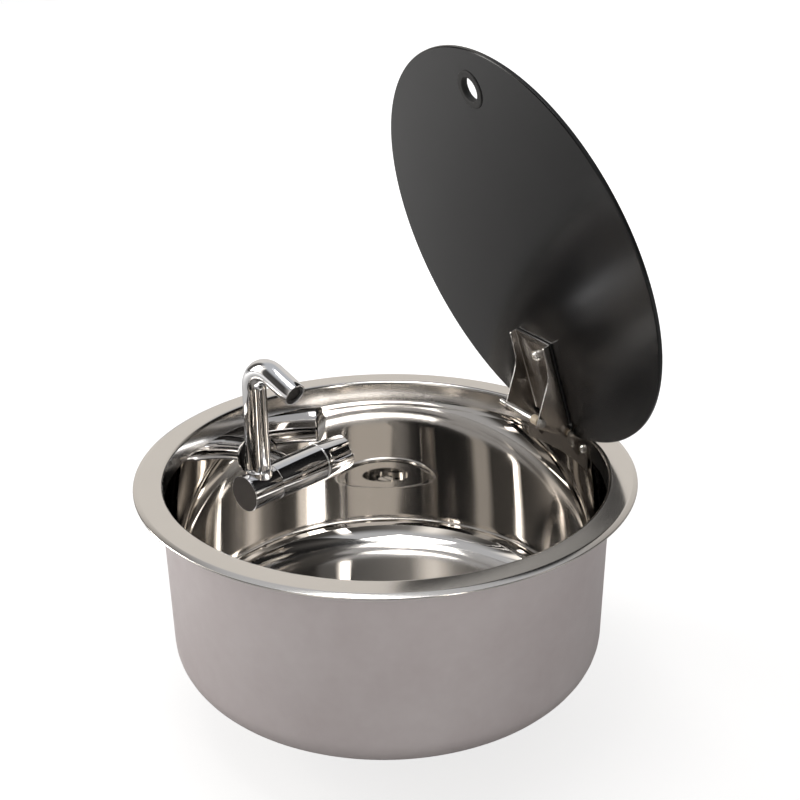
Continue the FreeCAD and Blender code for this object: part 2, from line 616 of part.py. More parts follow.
def make_clamp_screw():
    body = new_body("waste_screw")
    seat = "(%s + Sizes.gasket_upper - Sizes.strainer_cup_depth + Sizes.strainer_sheet * 2)" % RECESS_FLOOR
    shaft = "Sizes.clamp_screw_dia / 2"
    head = "Sizes.clamp_head_dia / 2"
    low = "%s - Sizes.clamp_screw_length" % seat
    high = "%s + Sizes.clamp_head_height" % seat
    points = [("0", low), (shaft, low), (shaft, seat), (head, seat), (head, high), ("0", high)]
    spin(body, outline(body, "XZ_Plane", points))
    half = "Sizes.screw_recess_width / 2"
    slot = box_outline(body, "XY_Plane", ("0 - " + head, "0 - " + half), (head, half), high)
    cut_checked(body, slot, "Sizes.clamp_head_height / 2")
    keep(body)


# ---------------------------------------------------------------- glass lid
def lid_screw_spots():
    return [("0", "0 - " + cell("lid_screw_far")), ("0", "0 - " + cell("lid_screw_near"))]


def make_glass():
    body = new_body("lid_glass")
    rings = [("0", "0 - " + HINGE_Y, LID_R)]
    extrude(body, circles(body, "XY_Plane", rings, GLASS_UNDER), cell("lid_thickness"))
    radius = value(LID_R)
    soften(body, cell("lid_edge_bevel"), lambda edge: abs(edge.BoundBox.XLength / 2 - radius) < 1e-3
           and edge.BoundBox.ZLength < 1e-3, "PartDesign::Chamfer")
    holes = [("0", "0 - " + FINGER_Y, "Sizes.finger_hole_dia / 2")]
    sleeve = "Sizes.lid_screw_dia / 2 + Sizes.sleeve_wall + Sizes.screw_fit / 2"
    holes += [(x, y, sleeve) for x, y in lid_screw_spots()]
    cut_checked(body, circles(body, "XY_Plane", holes, GLASS_TOP), "Sizes.lid_thickness + Sizes.overrun")
    place_on_lid(body)
    keep(body)


def make_grommet():
    """Rubber ring in the finger hole, with a flange on each face of the glass."""
    body = new_body("finger_grommet")
    neck = "(Sizes.finger_hole_dia / 2)"
    bore = "(%s - Sizes.grommet_wall)" % neck
    rim = "(%s + Sizes.grommet_lip)" % neck
    low = "(%s - Sizes.grommet_flange)" % GLASS_UNDER
    high = "(%s + Sizes.grommet_flange)" % GLASS_TOP
    points = [(bore, low), (rim, low), (rim, GLASS_UNDER), (neck, GLASS_UNDER), (neck, GLASS_TOP),
              (rim, GLASS_TOP), (rim, high), (bore, high)]
    spin(body, outline(body, "XZ_Plane", points))
    edge_round = "Sizes.grommet_flange / 2"
    soften(body, edge_round, lambda edge: ring_at(rim, low)(edge) or ring_at(rim, high)(edge))
    turn = "Sizes.lid_open_angle * 1 deg"
    base = ("0", "%s - %s * cos(%s)" % (HINGE_Y, FINGER_Y, turn), "%s + %s * sin(%s)" % (HINGE_Z, FINGER_Y, turn))
    place(body, base, "(0 - Sizes.lid_open_angle)", (1, 0, 0))
    keep(body)


def flange_points():
    """Side view of the lid bracket: y runs away from the lid's centre, z up, lid closed."""
    def at(reach, depth):
        return ("0 - Sizes." + reach, "%s - Sizes.%s" % (GLASS_UNDER, depth))
    knuckle = cell("knuckle_radius")
    return [
        ("0 - Sizes.bracket_length", WEB_TOP), at("bracket_length", "flange_depth_end"),
        at("flange_neck", "flange_depth_neck"), at("flange_tip", "flange_depth_tip"),
        at("flange_heel", "flange_depth_heel"),
        (knuckle, "0 - %s" % knuckle), (knuckle, cell("knuckle_shoulder")), (cell("knuckle_shoulder"), WEB_TOP),
        ("0 - Sizes.bracket_web_start", WEB_TOP)]


def make_bracket():
    """U-shaped bracket under the glass: a web against the pad and two swept flanges."""
    body = new_body("lid_bracket")
    profile = outline(body, "YZ_Plane", flange_points())
    extrude(body, profile, cell("bracket_width"), middle=True)
    reach = "(Sizes.bracket_length + Sizes.overrun)"
    past = "Sizes.knuckle_radius + Sizes.overrun"
    deep = "0 - Sizes.flange_depth_tip - Sizes.overrun"
    inside = "Sizes.bracket_width - 2 * Sizes.bracket_sheet"
    start = "(0 - Sizes.bracket_web_start)"
    hollow = outline(body, "YZ_Plane", [
        ("0 - " + reach, deep), (past, deep), (past, GLASS_TOP), (start, GLASS_TOP), (start, WEB_UNDER),
        ("0 - " + reach, WEB_UNDER)])
    cut_checked(body, hollow, inside, middle=True)
    for reach_cell, depth_cell, radius in (
            ("flange_tip", "flange_depth_tip", "flange_tip_radius"),
            ("flange_neck", "flange_depth_neck", "flange_sweep_radius")):
        depth = "%s - Sizes.%s" % (GLASS_UNDER, depth_cell)
        soften(body, cell(radius), line_at(0, "0 - Sizes." + reach_cell, depth))
    pin_hole = [("0", "0", "Sizes.hinge_pin_dia / 2 + Sizes.pin_fit")]
    cut_checked(body, circles(body, "YZ_Plane", pin_hole), "Sizes.bracket_width + Sizes.overrun", middle=True)
    bolt = [("0 - " + BOLT_REACH, BOLT_Z, "Sizes.cross_bolt_dia / 2 + Sizes.screw_fit")]
    cut_checked(body, circles(body, "YZ_Plane", bolt), "Sizes.bracket_width + Sizes.overrun", middle=True)
    holes = [(x, y, "Sizes.lid_screw_dia / 2 + Sizes.screw_fit") for x, y in lid_screw_spots()]
    cut_checked(body, circles(body, "XY_Plane", holes, WEB_TOP), "Sizes.bracket_sheet + Sizes.overrun")
    place_on_lid(body)
    keep(body)


def make_pad():
    body = new_body("bracket_pad")
    half = "Sizes.bracket_width / 2"
    low = ("0 - " + half, "0 - Sizes.bracket_length")
    high = (half, "0 - Sizes.bracket_web_start")
    extrude(body, box_outline(body, "XY_Plane", low, high, WEB_TOP), cell("pad_thickness"))
    holes = [(x, y, "Sizes.lid_screw_dia / 2 + Sizes.screw_fit") for x, y in lid_screw_spots()]
    cut_checked(body, circles(body, "XY_Plane", holes, GLASS_UNDER), "Sizes.pad_thickness + Sizes.overrun")
    place_on_lid(body)
    keep(body)


def turned_group(label, points, finish=None):
    """One turned piece at each lid screw, as a group."""
    items = []
    for number, (_, y) in enumerate(lid_screw_spots(), start=1):
        body = new_body("%s_%d" % (label, number))
        spin(body, outline(body, "XZ_Plane", points))
        if finish:
            finish(body)
        turn = "Sizes.lid_open_angle * 1 deg"
        base = ("0", "%s + (%s) * cos(%s)" % (HINGE_Y, y, turn), "%s - (%s) * sin(%s)" % (HINGE_Z, y, turn))
        place(body, base, "(0 - Sizes.lid_open_angle)", (1, 0, 0))
        items.append(body)
    keep(group(label, items))


def make_lid_screws():
    shaft = "Sizes.lid_screw_dia / 2"
    head = "Sizes.lid_screw_head_dia / 2"
    seat = "(%s - Sizes.lid_washer)" % WEB_UNDER
    low = "(%s - Sizes.lid_screw_head)" % seat
    top = "(%s + Sizes.cap_nut_height / 2)" % GLASS_TOP
    points = [("0", low), (head, low), (head, seat), (shaft, seat), (shaft, top), ("0", top)]

    def cross(body):
        half = "Sizes.screw_recess_width / 2"
        arm = cell("screw_recess_arm")
        depth = "Sizes.lid_screw_head / 2"
        soften(body, cell("lid_screw_crown"), ring_at(head, low))
        for size_x, size_y in ((arm, half), (half, arm)):
            bar = box_outline(body, "XY_Plane", ("0 - " + size_x, "0 - " + size_y), (size_x, size_y), low)
            cut_checked(body, bar, depth, back=True)
    turned_group("lid_screws", points, cross)
    washer = "Sizes.lid_washer_dia / 2"
    bore = "(Sizes.lid_screw_dia / 2 + Sizes.screw_fit / 2)"
    turned_group("lid_washers", [(bore, seat), (washer, seat), (washer, WEB_UNDER), (bore, WEB_UNDER)])
    sleeve = "(Sizes.lid_screw_dia / 2 + Sizes.sleeve_wall)"
    sleeve_points = [(bore, GLASS_UNDER), (sleeve, GLASS_UNDER), (sleeve, GLASS_TOP), (bore, GLASS_TOP)]
    turned_group("glass_sleeves", sleeve_points)
    cap = "Sizes.cap_nut_dia / 2"
    seat = "(%s + Sizes.cap_gasket)" % GLASS_TOP
    turned_group("cap_gaskets", [(sleeve, GLASS_TOP), (cap, GLASS_TOP), (cap, seat), (sleeve, seat)])
    high = "(%s + Sizes.cap_nut_height)" % seat
    hole = "Sizes.lid_screw_dia / 2 + Sizes.tail_fit"
    roof = "(%s - Sizes.cap_nut_roof)" % high
    cap_points = [(hole, seat), (cap, seat), (cap, high), ("0", high), ("0", roof), (hole, roof)]
    turned_group("lid_cap_nuts", cap_points,
                 lambda body: soften(body, "Sizes.cap_nut_height / 2", ring_at(cap, high)))


def place_at_cross_bolt(body):
    """Put a piece drawn along the x axis onto the cross bolt's line in the opened lid."""
    turn = "Sizes.lid_open_angle * 1 deg"
    base = ("0", "%s - %s * cos(%s) + %s * sin(%s)" % (HINGE_Y, BOLT_REACH, turn, BOLT_Z, turn),
            "%s + %s * sin(%s) + %s * cos(%s)" % (HINGE_Z, BOLT_REACH, turn, BOLT_Z, turn))
    place(body, base, "(0 - Sizes.lid_open_angle)", (1, 0, 0))
    keep(body)


def make_cross_bolt():
    """Long-headed bolt across the bracket's flanges, with its tube, nylon bush and nut."""
    outside = "(Sizes.bracket_width / 2)"
    inside = "(Sizes.bracket_width / 2 - Sizes.bracket_sheet - Sizes.bush_gap)"
    shaft = "(Sizes.cross_bolt_dia / 2)"
    head = "(Sizes.cross_head_dia / 2)"
    left = "(0 - %s - Sizes.cross_head_length)" % outside
    nut_end = "(%s + Sizes.cross_nut_height)" % outside
    bolt_end = "(%s + Sizes.thread_end)" % nut_end
    bolt = new_body("cross_bolt")
    spin(bolt, outline(bolt, "XY_Plane", [
        (left, "0"), (bolt_end, "0"), (bolt_end, shaft), ("0 - " + outside, shaft),
        ("0 - " + outside, head), (left, head)]), "H_Axis")
    place_at_cross_bolt(bolt)
    bush_start = "(%s - Sizes.bush_length)" % inside
    tube_end = "(%s - Sizes.bush_gap)" % bush_start
    tube_bore = "(Sizes.cross_tube_dia / 2 - Sizes.cross_tube_wall)"
    bush_bore = "(%s + Sizes.pin_fit)" % shaft
    for label, low, high, bore, radius in (
            ("cross_tube", "0 - " + inside, tube_end, tube_bore, "Sizes.cross_tube_dia / 2"),
            ("cross_bush", bush_start, inside, bush_bore, "Sizes.bush_dia / 2")):
        body = new_body(label)
        spin(body, box_outline(body, "XY_Plane", (low, bore), (high, radius)), "H_Axis")
        place_at_cross_bolt(body)
    nut = new_body("cross_nut")
    extrude(nut, hexagon(nut, cell("cross_nut_width"), outside), cell("cross_nut_height"))
    cut_checked(nut, circles(nut, "YZ_Plane", [("0", "0", bush_bore)], nut_end), cell("cross_nut_height"))
    place_at_cross_bolt(nut)


def hexagon(body, width, offset):
    """A hexagon about the x axis, given across flats, at a place along x."""
    reach = "(%s / sqrt(3))" % width
    corners = [("%s * cos(%d deg)" % (reach, turn), "%s * sin(%d deg)" % (reach, turn)) for turn in range(0, 360, 60)]
    return outline(body, "YZ_Plane", corners, offset)


# ---------------------------------------------------------------- hinge base
def make_hinge_base():
    """Curved plate on the collar with an ear each side of the lid bracket."""
    body = new_body("hinge_base")
    outer = PLATE_R
    inner = "(%s - Sizes.base_sheet)" % PLATE_R
    top = "(Sizes.rim_rise - Sizes.base_top_drop)"
    low = "(%s - Sizes.base_height)" % top
    sweep = "2 * asin(%s / %s)" % (BASE_HALF, PLATE_R)
    spin(body, box_outline(body, "YZ_Plane", (inner, low), (outer, top)), angle=sweep)
    face = EAR_FACE
    back = "(sqrt(%s ^ 2 - (%s + Sizes.base_sheet) ^ 2) + Sizes.base_sheet / 2)" % (inner, face)
    rear = "(%s + Sizes.knuckle_radius)" % HINGE_Y
    front = "(%s - Sizes.knuckle_radius)" % HINGE_Y
    crown = "(%s + Sizes.knuckle_radius)" % HINGE_Z
    corners = [
        (back, top), (HINGE_Y + " + Sizes.ear_neck_back", HINGE_Z + " - Sizes.ear_neck_drop"),
        (rear, HINGE_Z + " - Sizes.knuckle_shoulder"), (rear, crown), (front, crown),
        (front, "%s - Sizes.ear_front_drop" % HINGE_Z), (back, "%s - Sizes.ear_foot" % top)]
    for offset in (face, "0 - %s - Sizes.base_sheet" % face):
        extrude(body, outline(body, "YZ_Plane", corners, offset), cell("base_sheet"))
    for corner in (rear, front):
        soften(body, cell("ear_crown_radius"), line_at(0, corner, crown))
    pin = [(HINGE_Y, HINGE_Z, "Sizes.hinge_pin_dia / 2 + Sizes.pin_fit")]
    cut_checked(body, circles(body, "YZ_Plane", pin), "Sizes.bracket_width * 2", middle=True)
    cut_base_screws(body)
    keep(body)


def make_pin():
    body = new_body("hinge_pin")
    half = "(%s + Sizes.base_sheet)" % EAR_FACE
    end = "(%s + Sizes.pin_head_height)" % half
    shaft = "Sizes.hinge_pin_dia / 2"
    head = "Sizes.pin_head_dia / 2"
    points = [("0 - " + end, "0"), (end, "0"), (end, head), (half, head), (half, shaft), ("0 - " + half, shaft),
              ("0 - " + half, head), ("0 - " + end, head)]
    spin(body, outline(body, "XY_Plane", points), "H_Axis")
    place(body, ("0", HINGE_Y, HINGE_Z))
    keep(body)


def make_hinge_washers():
    body = new_body("hinge_washer_right")
    low = "(Sizes.bracket_width / 2 + Sizes.washer_fit)"
    thick = "(Sizes.ear_gap - 2 * Sizes.washer_fit)"
    rings = [("0", "0", "Sizes.knuckle_radius - Sizes.hinge_washer_inset")]
    extrude(body, circles(body, "YZ_Plane", rings, low), thick)
    hole = [("0", "0", "Sizes.hinge_pin_dia / 2 + Sizes.pin_fit")]
    cut_checked(body, circles(body, "YZ_Plane", hole, "%s + %s" % (low, thick)), thick)
    place(body, ("0", HINGE_Y, HINGE_Z))
    keep(group("hinge_washers", [body, mirrored(body)]))


def wall_fastener(label, points):
    """A turned piece along the wall's normal at each hinge base screw."""
    body = new_body(label + "_right")
    spin(body, outline(body, "XZ_Plane", points), "H_Axis")
    place(body, ("0", "0", "Sizes.rim_rise - Sizes.base_screw_drop"), base_screw_turn(1))
    keep(group(label, [body, mirrored(body)]))


def make_base_screws():
    face = "(%s - Sizes.base_sheet - Sizes.seat_gap)" % PLATE_R
    shaft = "Sizes.base_screw_dia / 2"
    head = "Sizes.base_screw_head_dia / 2"
    start = "(%s - Sizes.base_screw_head)" % face
    nut_start = "(%s + Sizes.seat_gap)" % WALL_OUT_R
    nut_end = "(%s + Sizes.base_nut)" % nut_start
    end = "(%s + Sizes.thread_end)" % nut_end
    wall_fastener("base_screws", [
        (start, "0"), (end, "0"), (end, shaft), (face, shaft), (face, head),
        ("%s + Sizes.base_screw_head / 2" % start, head), (start, "Sizes.base_screw_face_dia / 2")])
    bore = "(Sizes.base_screw_dia / 2 + Sizes.tail_fit)"
    nut = "Sizes.base_nut_dia / 2"
    wall_fastener("base_nuts", [(nut_start, bore), (nut_end, bore), (nut_end, nut), (nut_start, nut)])


# ---------------------------------------------------------------- tap
def make_tap_body():
    """Tapered barrel along y with the spout's journal, and the stem and shank along x."""
    body = new_body("tap_body")
    journal = "(Sizes.journal_dia / 2)"
    end = "(%s + Sizes.journal_length)" % SEAM_Y
    groove = "(%s - Sizes.ring_groove)" % journal
    points = [("0", KNOB_Y), (cell("tap_knob_radius"), KNOB_Y), (cell("tap_spout_radius"), SEAM_Y), (journal, SEAM_Y)]
    for spot in RING_PLACES:
        start = "(%s + %s)" % (SEAM_Y, spot)
        stop = "(%s + Sizes.ring_width)" % start
        points += [(journal, start), (groove, start), (groove, stop), (journal, stop)]
    points += [(journal, end), ("0", end)]
    spin(body, outline(body, "XY_Plane", points))
    extrude(body, circles(body, "YZ_Plane", [("0", "0", "Sizes.stem_dia / 2")]), ROSE_FRONT)
    extrude(body, circles(body, "YZ_Plane", [("0", "0", "Sizes.shank_dia / 2")]), SHANK_END)
    bore = circles(body, "XZ_Plane", [("0", "0", "Sizes.tap_bore / 2")], "0 - " + KNOB_Y)
    cut_checked(body, bore, cell("tap_bore_depth"))
    way = "Sizes.water_way_dia / 2"
    cut_checked(body, circles(body, "XZ_Plane", [("0", "0", way)], "0 - " + end), end + " - " + KNOB_Y, back=True)
    grip = "Sizes.tail_dia / 2 - Sizes.tail_step + Sizes.tail_fit"
    socket = circles(body, "YZ_Plane", [("0", "0", grip)], SHANK_END)
    cut_checked(body, socket, cell("tail_grip"))
    cut_checked(body, circles(body, "YZ_Plane", [("0", "0", way)], SHANK_END), SHANK_END)
    place_on_tap(body)
    keep(body)


def trim_to_wall(body, radius, outside):
    """Cut a gasket, drawn about the stem, to the curve of the bowl wall."""
    centre = ("0 - " + TAP_R, cell("tap_offset"))
    wide = "2 * " + RIM_OUT_R
    rings = [centre + (radius,)]
    if outside:
        rings.append(centre + (wide,))
    cut_checked(body, circles(body, "XY_Plane", rings), wide, middle=True)


def wall_radius(surface, edge):
    """Radius of the bowl wall at one edge of the gaskets, above or below the tap axis."""
    depth = "(Sizes.tap_drop - Sizes.rim_sheet - Sizes.bowl_straight %s Sizes.rose_gasket_dia / 2)" % edge
    slope = "Sizes.bowl_draw_in / (Sizes.bowl_depth - Sizes.rim_sheet - Sizes.bowl_straight)"
    return "(%s - %s * %s)" % (surface, depth, slope)


def make_tap_mounting():
    shank = "Sizes.shank_dia / 2 + Sizes.screw_fit"
    gasket = "Sizes.rose_gasket_dia / 2"
    rose = disc("tap_rose", "Sizes.rose_dia / 2", ROSE_FRONT, ROSE_BACK, shank, "YZ_Plane")
    front = value(ROSE_FRONT)
    wide = value("Sizes.rose_dia / 2")
    soften(rose, cell("rose_crown"), lambda edge: abs(edge.BoundBox.XMin - front) < 1e-3
           and edge.BoundBox.XLength < 1e-3 and abs(edge.BoundBox.YLength / 2 - wide) < 1e-3)
    inner = disc("rose_gasket", gasket, ROSE_BACK, GASKET_BACK, shank, "YZ_Plane")
    trim_to_wall(inner, "%s - Sizes.gasket_fit" % wall_radius(WALL_IN_R, "+"), True)
    outer = disc("outer_gasket", gasket, ROSE_BACK, GASKET_BACK, shank, "YZ_Plane")
    trim_to_wall(outer, "%s + Sizes.gasket_fit" % wall_radius(WALL_OUT_R, "-"), False)
    washer = disc("shank_washer", "Sizes.shank_washer_dia / 2", GASKET_BACK, WASHER_BACK, shank, "YZ_Plane")
    nut = new_body("shank_nut")
    extrude(nut, hexagon(nut, cell("shank_nut_width"), WASHER_BACK), cell("shank_nut"))
    hole = [("0", "0", "Sizes.shank_dia / 2 + Sizes.tail_fit")]
    cut_checked(nut, circles(nut, "YZ_Plane", hole, "%s + Sizes.shank_nut" % WASHER_BACK), cell("shank_nut"))
    for item in (rose, inner, outer, washer, nut):
        place_on_tap(item)
        keep(item)


def make_tail():
    """Pipe stub, thinner where the shank holds it, with its shoulder on the shank's end."""
    tail = new_body("inlet_tail")
    start = "(%s - Sizes.tail_grip)" % SHANK_END
    end = "(%s + Sizes.tail_length)" % SHANK_END
    outer = "(Sizes.tail_dia / 2)"
    grip = "(%s - Sizes.tail_step)" % outer
    bore = "(%s - Sizes.tail_wall)" % grip
    points = [(start, bore), (end, bore), (end, outer), (SHANK_END, outer), (SHANK_END, grip), (start, grip)]
    spin(tail, outline(tail, "XY_Plane", points), "H_Axis")
    place_on_tap(tail)
    keep(tail)


def make_seals():
    """Two rubber rings in the journal's grooves."""
    items = []
    outer = "(Sizes.journal_dia / 2 + Sizes.journal_fit / 2)"
    inner = "(Sizes.journal_dia / 2 - Sizes.ring_groove + Sizes.tail_fit)"
    for number, spot in enumerate(RING_PLACES, start=1):
        body = new_body("journal_ring_%d" % number)
        low = "(%s + %s + Sizes.ring_play)" % (SEAM_Y, spot)
        high = "(%s + Sizes.ring_width - 2 * Sizes.ring_play)" % low
        spin(body, box_outline(body, "XY_Plane", (inner, low), (outer, high)))
        place_on_tap(body)
        items.append(body)
    keep(group("journal_rings", items))


def make_spout_base():
    """Turning end of the tap: bored for the journal, with a collar for the tube."""
    body = new_body("spout_base")
    start = "(%s + Sizes.seam_gap)" % SEAM_Y
    end = "(%s + Sizes.spout_base_length)" % SEAM_Y
    radius = cell("tap_spout_radius")
    bore = "(Sizes.journal_dia / 2 + Sizes.journal_fit)"
    tube_y = "(%s + Sizes.spout_tube_side)" % SEAM_Y
    spin(body, box_outline(body, "XY_Plane", (bore, start), (radius, end)))
    collar_r = "Sizes.spout_tube_dia / 2 + Sizes.spout_collar_wall"
    collar = circles(body, "XY_Plane", [("0", tube_y, collar_r)], cell("spout_foot"))
    extrude(body, collar, "Sizes.spout_collar_top - Sizes.spout_foot")
    socket = circles(body, "XY_Plane", [("0", tube_y, "Sizes.spout_tube_dia / 2 + Sizes.tail_fit")],
                     cell("spout_collar_top"))
    cut_checked(body, socket, "Sizes.spout_collar_top - Sizes.spout_foot")
    water = circles(body, "XY_Plane", [("0", tube_y, "Sizes.water_way_dia / 2")], cell("spout_foot"))
    cut_checked(body, water, cell("spout_foot"))
    place_on_tap(body)
    keep(body)
    cap = new_body("spout_end_cap")
    face = "(%s + Sizes.end_cap_thickness)" % end
    plug = "(Sizes.journal_dia / 2 + Sizes.journal_fit - Sizes.tail_fit)"
    deep = "(%s - Sizes.end_cap_plug)" % end
    spin(cap, outline(cap, "XY_Plane", [("0", deep), (plug, deep), (plug, end), (radius, end), (radius, face),
                                        ("0", face)]))
    place_on_tap(cap)
    keep(cap)


def tube_path(body):
    """Centre line of the spout: up, round the bend and down towards the bowl's middle."""
    sketch = new_sketch(body, "XZ_Plane")
    turn = "(90 + Sizes.spout_droop)"
    leg = "(Sizes.spout_bend * tan(%s / 2 * 1 deg))" % turn
    droop = "(Sizes.spout_droop * 1 deg)"
    low = ("0", cell("spout_foot"))
    first = ("0", "Sizes.spout_height - " + leg)
    second = ("0 - %s * cos(%s)" % (leg, droop), "Sizes.spout_height - %s * sin(%s)" % (leg, droop))
    last = ("0 - Sizes.spout_reach * cos(%s)" % droop, "Sizes.spout_height - Sizes.spout_reach * sin(%s)" % droop)
    centre = ("0 - Sizes.spout_bend", "Sizes.spout_height - " + leg)
    spots = [FreeCAD.Vector(value(x), value(y), 0) for x, y in (low, first, second, last, centre)]
    sketch.addGeometry(Part.LineSegment(spots[0], spots[1]), False)
    middle = spots[4] + FreeCAD.Vector(1, 1, 0).normalize() * value(cell("spout_bend"))
    sketch.addGeometry(Part.Arc(spots[1], middle, spots[2]), False)
    sketch.addGeometry(Part.LineSegment(spots[2], spots[3]), False)
    pin_point(sketch, 0, 1, *low)
    pin_point(sketch, 0, 2, *first)
    pin_point(sketch, 2, 1, *second)
    pin_point(sketch, 2, 2, *last)
    sketch.addConstraint(Sketcher.Constraint("Coincident", 1, 1, 0, 2))
    sketch.addConstraint(Sketcher.Constraint("Coincident", 1, 2, 2, 1))
    made = sketch.addConstraint(Sketcher.Constraint("Radius", 1, value(cell("spout_bend"))))
    sketch.setExpression("Constraints[%d]" % made, cell("spout_bend"))
    return sketch


def sweep_tube(body, radius, cut):
    path = tube_path(body)
    ring = circles(body, "XY_Plane", [("0", "0", radius)], cell("spout_foot"))
    kind = "PartDesign::SubtractivePipe" if cut else "PartDesign::AdditivePipe"
    feature = body.newObject(kind, body.Name + "_pipe")
    feature.Profile = ring
    feature.Spine = path
    doc.recompute()
    return feature


def make_spout_tube():
    body = new_body("spout_tube")
    sweep_tube(body, "Sizes.spout_tube_dia / 2", False)
    before = body.Shape.Volume
    sweep_tube(body, "Sizes.spout_tube_dia / 2 - Sizes.spout_wall", True)
    if body.Shape.Volume > before * 0.5:
        raise RuntimeError("the spout tube isn't hollow")
    place_on_tap(body, "(%s + Sizes.spout_tube_side)" % SEAM_Y)
    keep(body)


def make_aerator():
    """Insert and mesh in the nozzle, drawn along z and turned into the nozzle's line."""
    outer = "(Sizes.spout_tube_dia / 2 - Sizes.spout_wall - Sizes.tail_fit)"
    face = "(Sizes.spout_reach - Sizes.aerator_recess)"
    bore = "Sizes.aerator_bore / 2"
    length = cell("aerator_length")
    for label, low, high, hole in (
            ("aerator_insert", "%s - %s" % (face, length), face, bore),
            ("aerator_mesh", "%s - Sizes.mesh_thickness * 2" % face, "%s - Sizes.mesh_thickness" % face, None)):
        radius = outer if hole else "%s - Sizes.tail_fit" % bore
        body = disc(label, radius, low, high, hole, "YZ_Plane")
        place_in_nozzle(body)
        keep(body)


def place_in_nozzle(body):
    """Put a piece drawn along +x onto the spout's last leg, measured from its corner."""
    side = "(%s + Sizes.spout_tube_side)" % SEAM_Y
    yaw = FreeCAD.Rotation(FreeCAD.Vector(0, 0, 1), value(cell("tap_azimuth")) + 180)
    pitch = FreeCAD.Rotation(FreeCAD.Vector(0, 1, 0), value(cell("spout_droop")))
    body.Placement = FreeCAD.Placement(FreeCAD.Vector(), yaw.multiply(pitch))
    base = ("%s - %s * sin(%s)" % (TAP_X, side, TAP_TURN), "%s + %s * cos(%s)" % (TAP_Y, side, TAP_TURN),
            "%s + Sizes.spout_height" % TAP_Z)
    for name, expression in zip("xyz", base):
        body.setExpression("Placement.Base." + name, expression)
    doc.recompute()


def make_trim():
    body = new_body("tap_trim_ring")
    low = "(%s - Sizes.trim_width)" % KNOB_Y
    outer = "(Sizes.tap_knob_radius + Sizes.trim_stand)"
    inner = "(Sizes.tap_bore / 2)"
    spin(body, box_outline(body, "XY_Plane", (inner, low), (outer, KNOB_Y)))
    place_on_tap(body)
    keep(body)


def make_knob():
    body = new_body("tap_knob")
    start = "(%s - Sizes.trim_width - Sizes.seam_gap)" % KNOB_Y
    end = "(%s - Sizes.knob_length)" % start
    tip = cell("knob_end_radius")
    points = [("0", start), (cell("tap_knob_radius"), start), (tip, end), ("0", end)]
    spin(body, outline(body, "XY_Plane", points))
    low = value(end)
    soften(body, cell("knob_end_round"), lambda edge: abs(edge.BoundBox.YMin - low) < 1e-3
           and edge.BoundBox.YLength < 1e-3)
    bore = circles(body, "XZ_Plane", [("0", "0", "Sizes.spindle_dia / 2 + Sizes.tail_fit")], "0 - " + start)
    cut_checked(body, bore, "Sizes.spindle_grip + Sizes.spindle_end", back=True)
    half = "Sizes.knob_notch_width / 2"
    notch = box_outline(body, "XY_Plane", ("0 - " + half, "%s - Sizes.overrun" % end),
                        (half, "%s - Sizes.knob_notch_start" % start),
                        "Sizes.tap_knob_radius - Sizes.knob_notch_depth")
    cut_checked(body, notch, "Sizes.knob_notch_depth + Sizes.overrun", back=True)
    return body


def place_knob(body):
    """The notch is drawn upwards and turned about the tap's axis towards the bowl."""
    place_on_tap(body)
    yaw = FreeCAD.Rotation(FreeCAD.Vector(0, 0, 1), value(cell("tap_azimuth")))
    lean = FreeCAD.Rotation(FreeCAD.Vector(0, 1, 0), value("Sizes.knob_notch_angle - 90"))
    body.setExpression("Placement.Rotation.Angle", None)
    body.Placement = FreeCAD.Placement(body.Placement.Base, yaw.multiply(lean))
    doc.recompute()
    keep(body)


def make_spindle():
    """Cartridge fixed in the body and the spindle that the knob turns."""
    cartridge = new_body("tap_cartridge")
    low = KNOB_Y
    high = "(%s + Sizes.tap_bore_depth - Sizes.cartridge_end)" % KNOB_Y
    hole = "(Sizes.spindle_dia / 2 + Sizes.spindle_fit)"
    rim = "(Sizes.tap_bore / 2 - Sizes.cartridge_fit)"
    spin(cartridge, box_outline(cartridge, "XY_Plane", (hole, low), (rim, high)))
    place_on_tap(cartridge)
    keep(cartridge)
    spindle = new_body("tap_spindle")
    start = "(%s - Sizes.trim_width - Sizes.seam_gap - Sizes.spindle_grip)" % KNOB_Y
    inner_end = ("Sizes.spindle_dia / 2", high + " - Sizes.cartridge_end")
    spin(spindle, box_outline(spindle, "XY_Plane", ("0", start), inner_end))
    place_on_tap(spindle)
    keep(spindle)


def build():
    fill_sheet()
    make_rim()
    make_bowl()
    make_seal()
    gasket_r = "(%s - Sizes.gasket_inset)" % STRAINER_R
    width = cell("gasket_width")
    flat_ring("strainer_gasket", gasket_r, width, RECESS_FLOOR, RECESS_FLOOR + " + Sizes.gasket_upper")
    flat_ring("waste_gasket", gasket_r, width, RECESS_UNDER + " - Sizes.gasket_lower", RECESS_UNDER)
    make_strainer()
    make_waste_body()
    make_clamp_screw()
    make_glass()
    make_grommet()
    make_bracket()
    make_pad()
    make_lid_screws()
    make_cross_bolt()
    make_hinge_base()
    make_pin()
    make_hinge_washers()
    make_base_screws()
    make_tap_body()
    make_tap_mounting()
    make_tail()
    make_seals()
    make_spout_base()
    make_spout_tube()
    make_aerator()
    make_trim()
    place_knob(make_knob())
    make_spindle()


def check():
    """Stop on any failed object or broken shape."""
    doc.recompute()
    for item in doc.Objects:
        if "Invalid" in item.State or "Error" in item.State:
            raise RuntimeError("%s failed: %s" % (item.Label, item.State))
    for item in parts:
        if item.Shape.isNull() or not item.Shape.isValid():
            raise RuntimeError("%s has a broken shape" % item.Label)
        print("%-18s solids %d  volume %.0f" % (item.Label, len(item.Shape.Solids), item.Shape.Volume))


def export():
    os.makedirs("parts", exist_ok=True)
    for item in parts:
        item.Shape.exportStep(os.path.join("parts", item.Label + ".step"))


build()
check()
export()
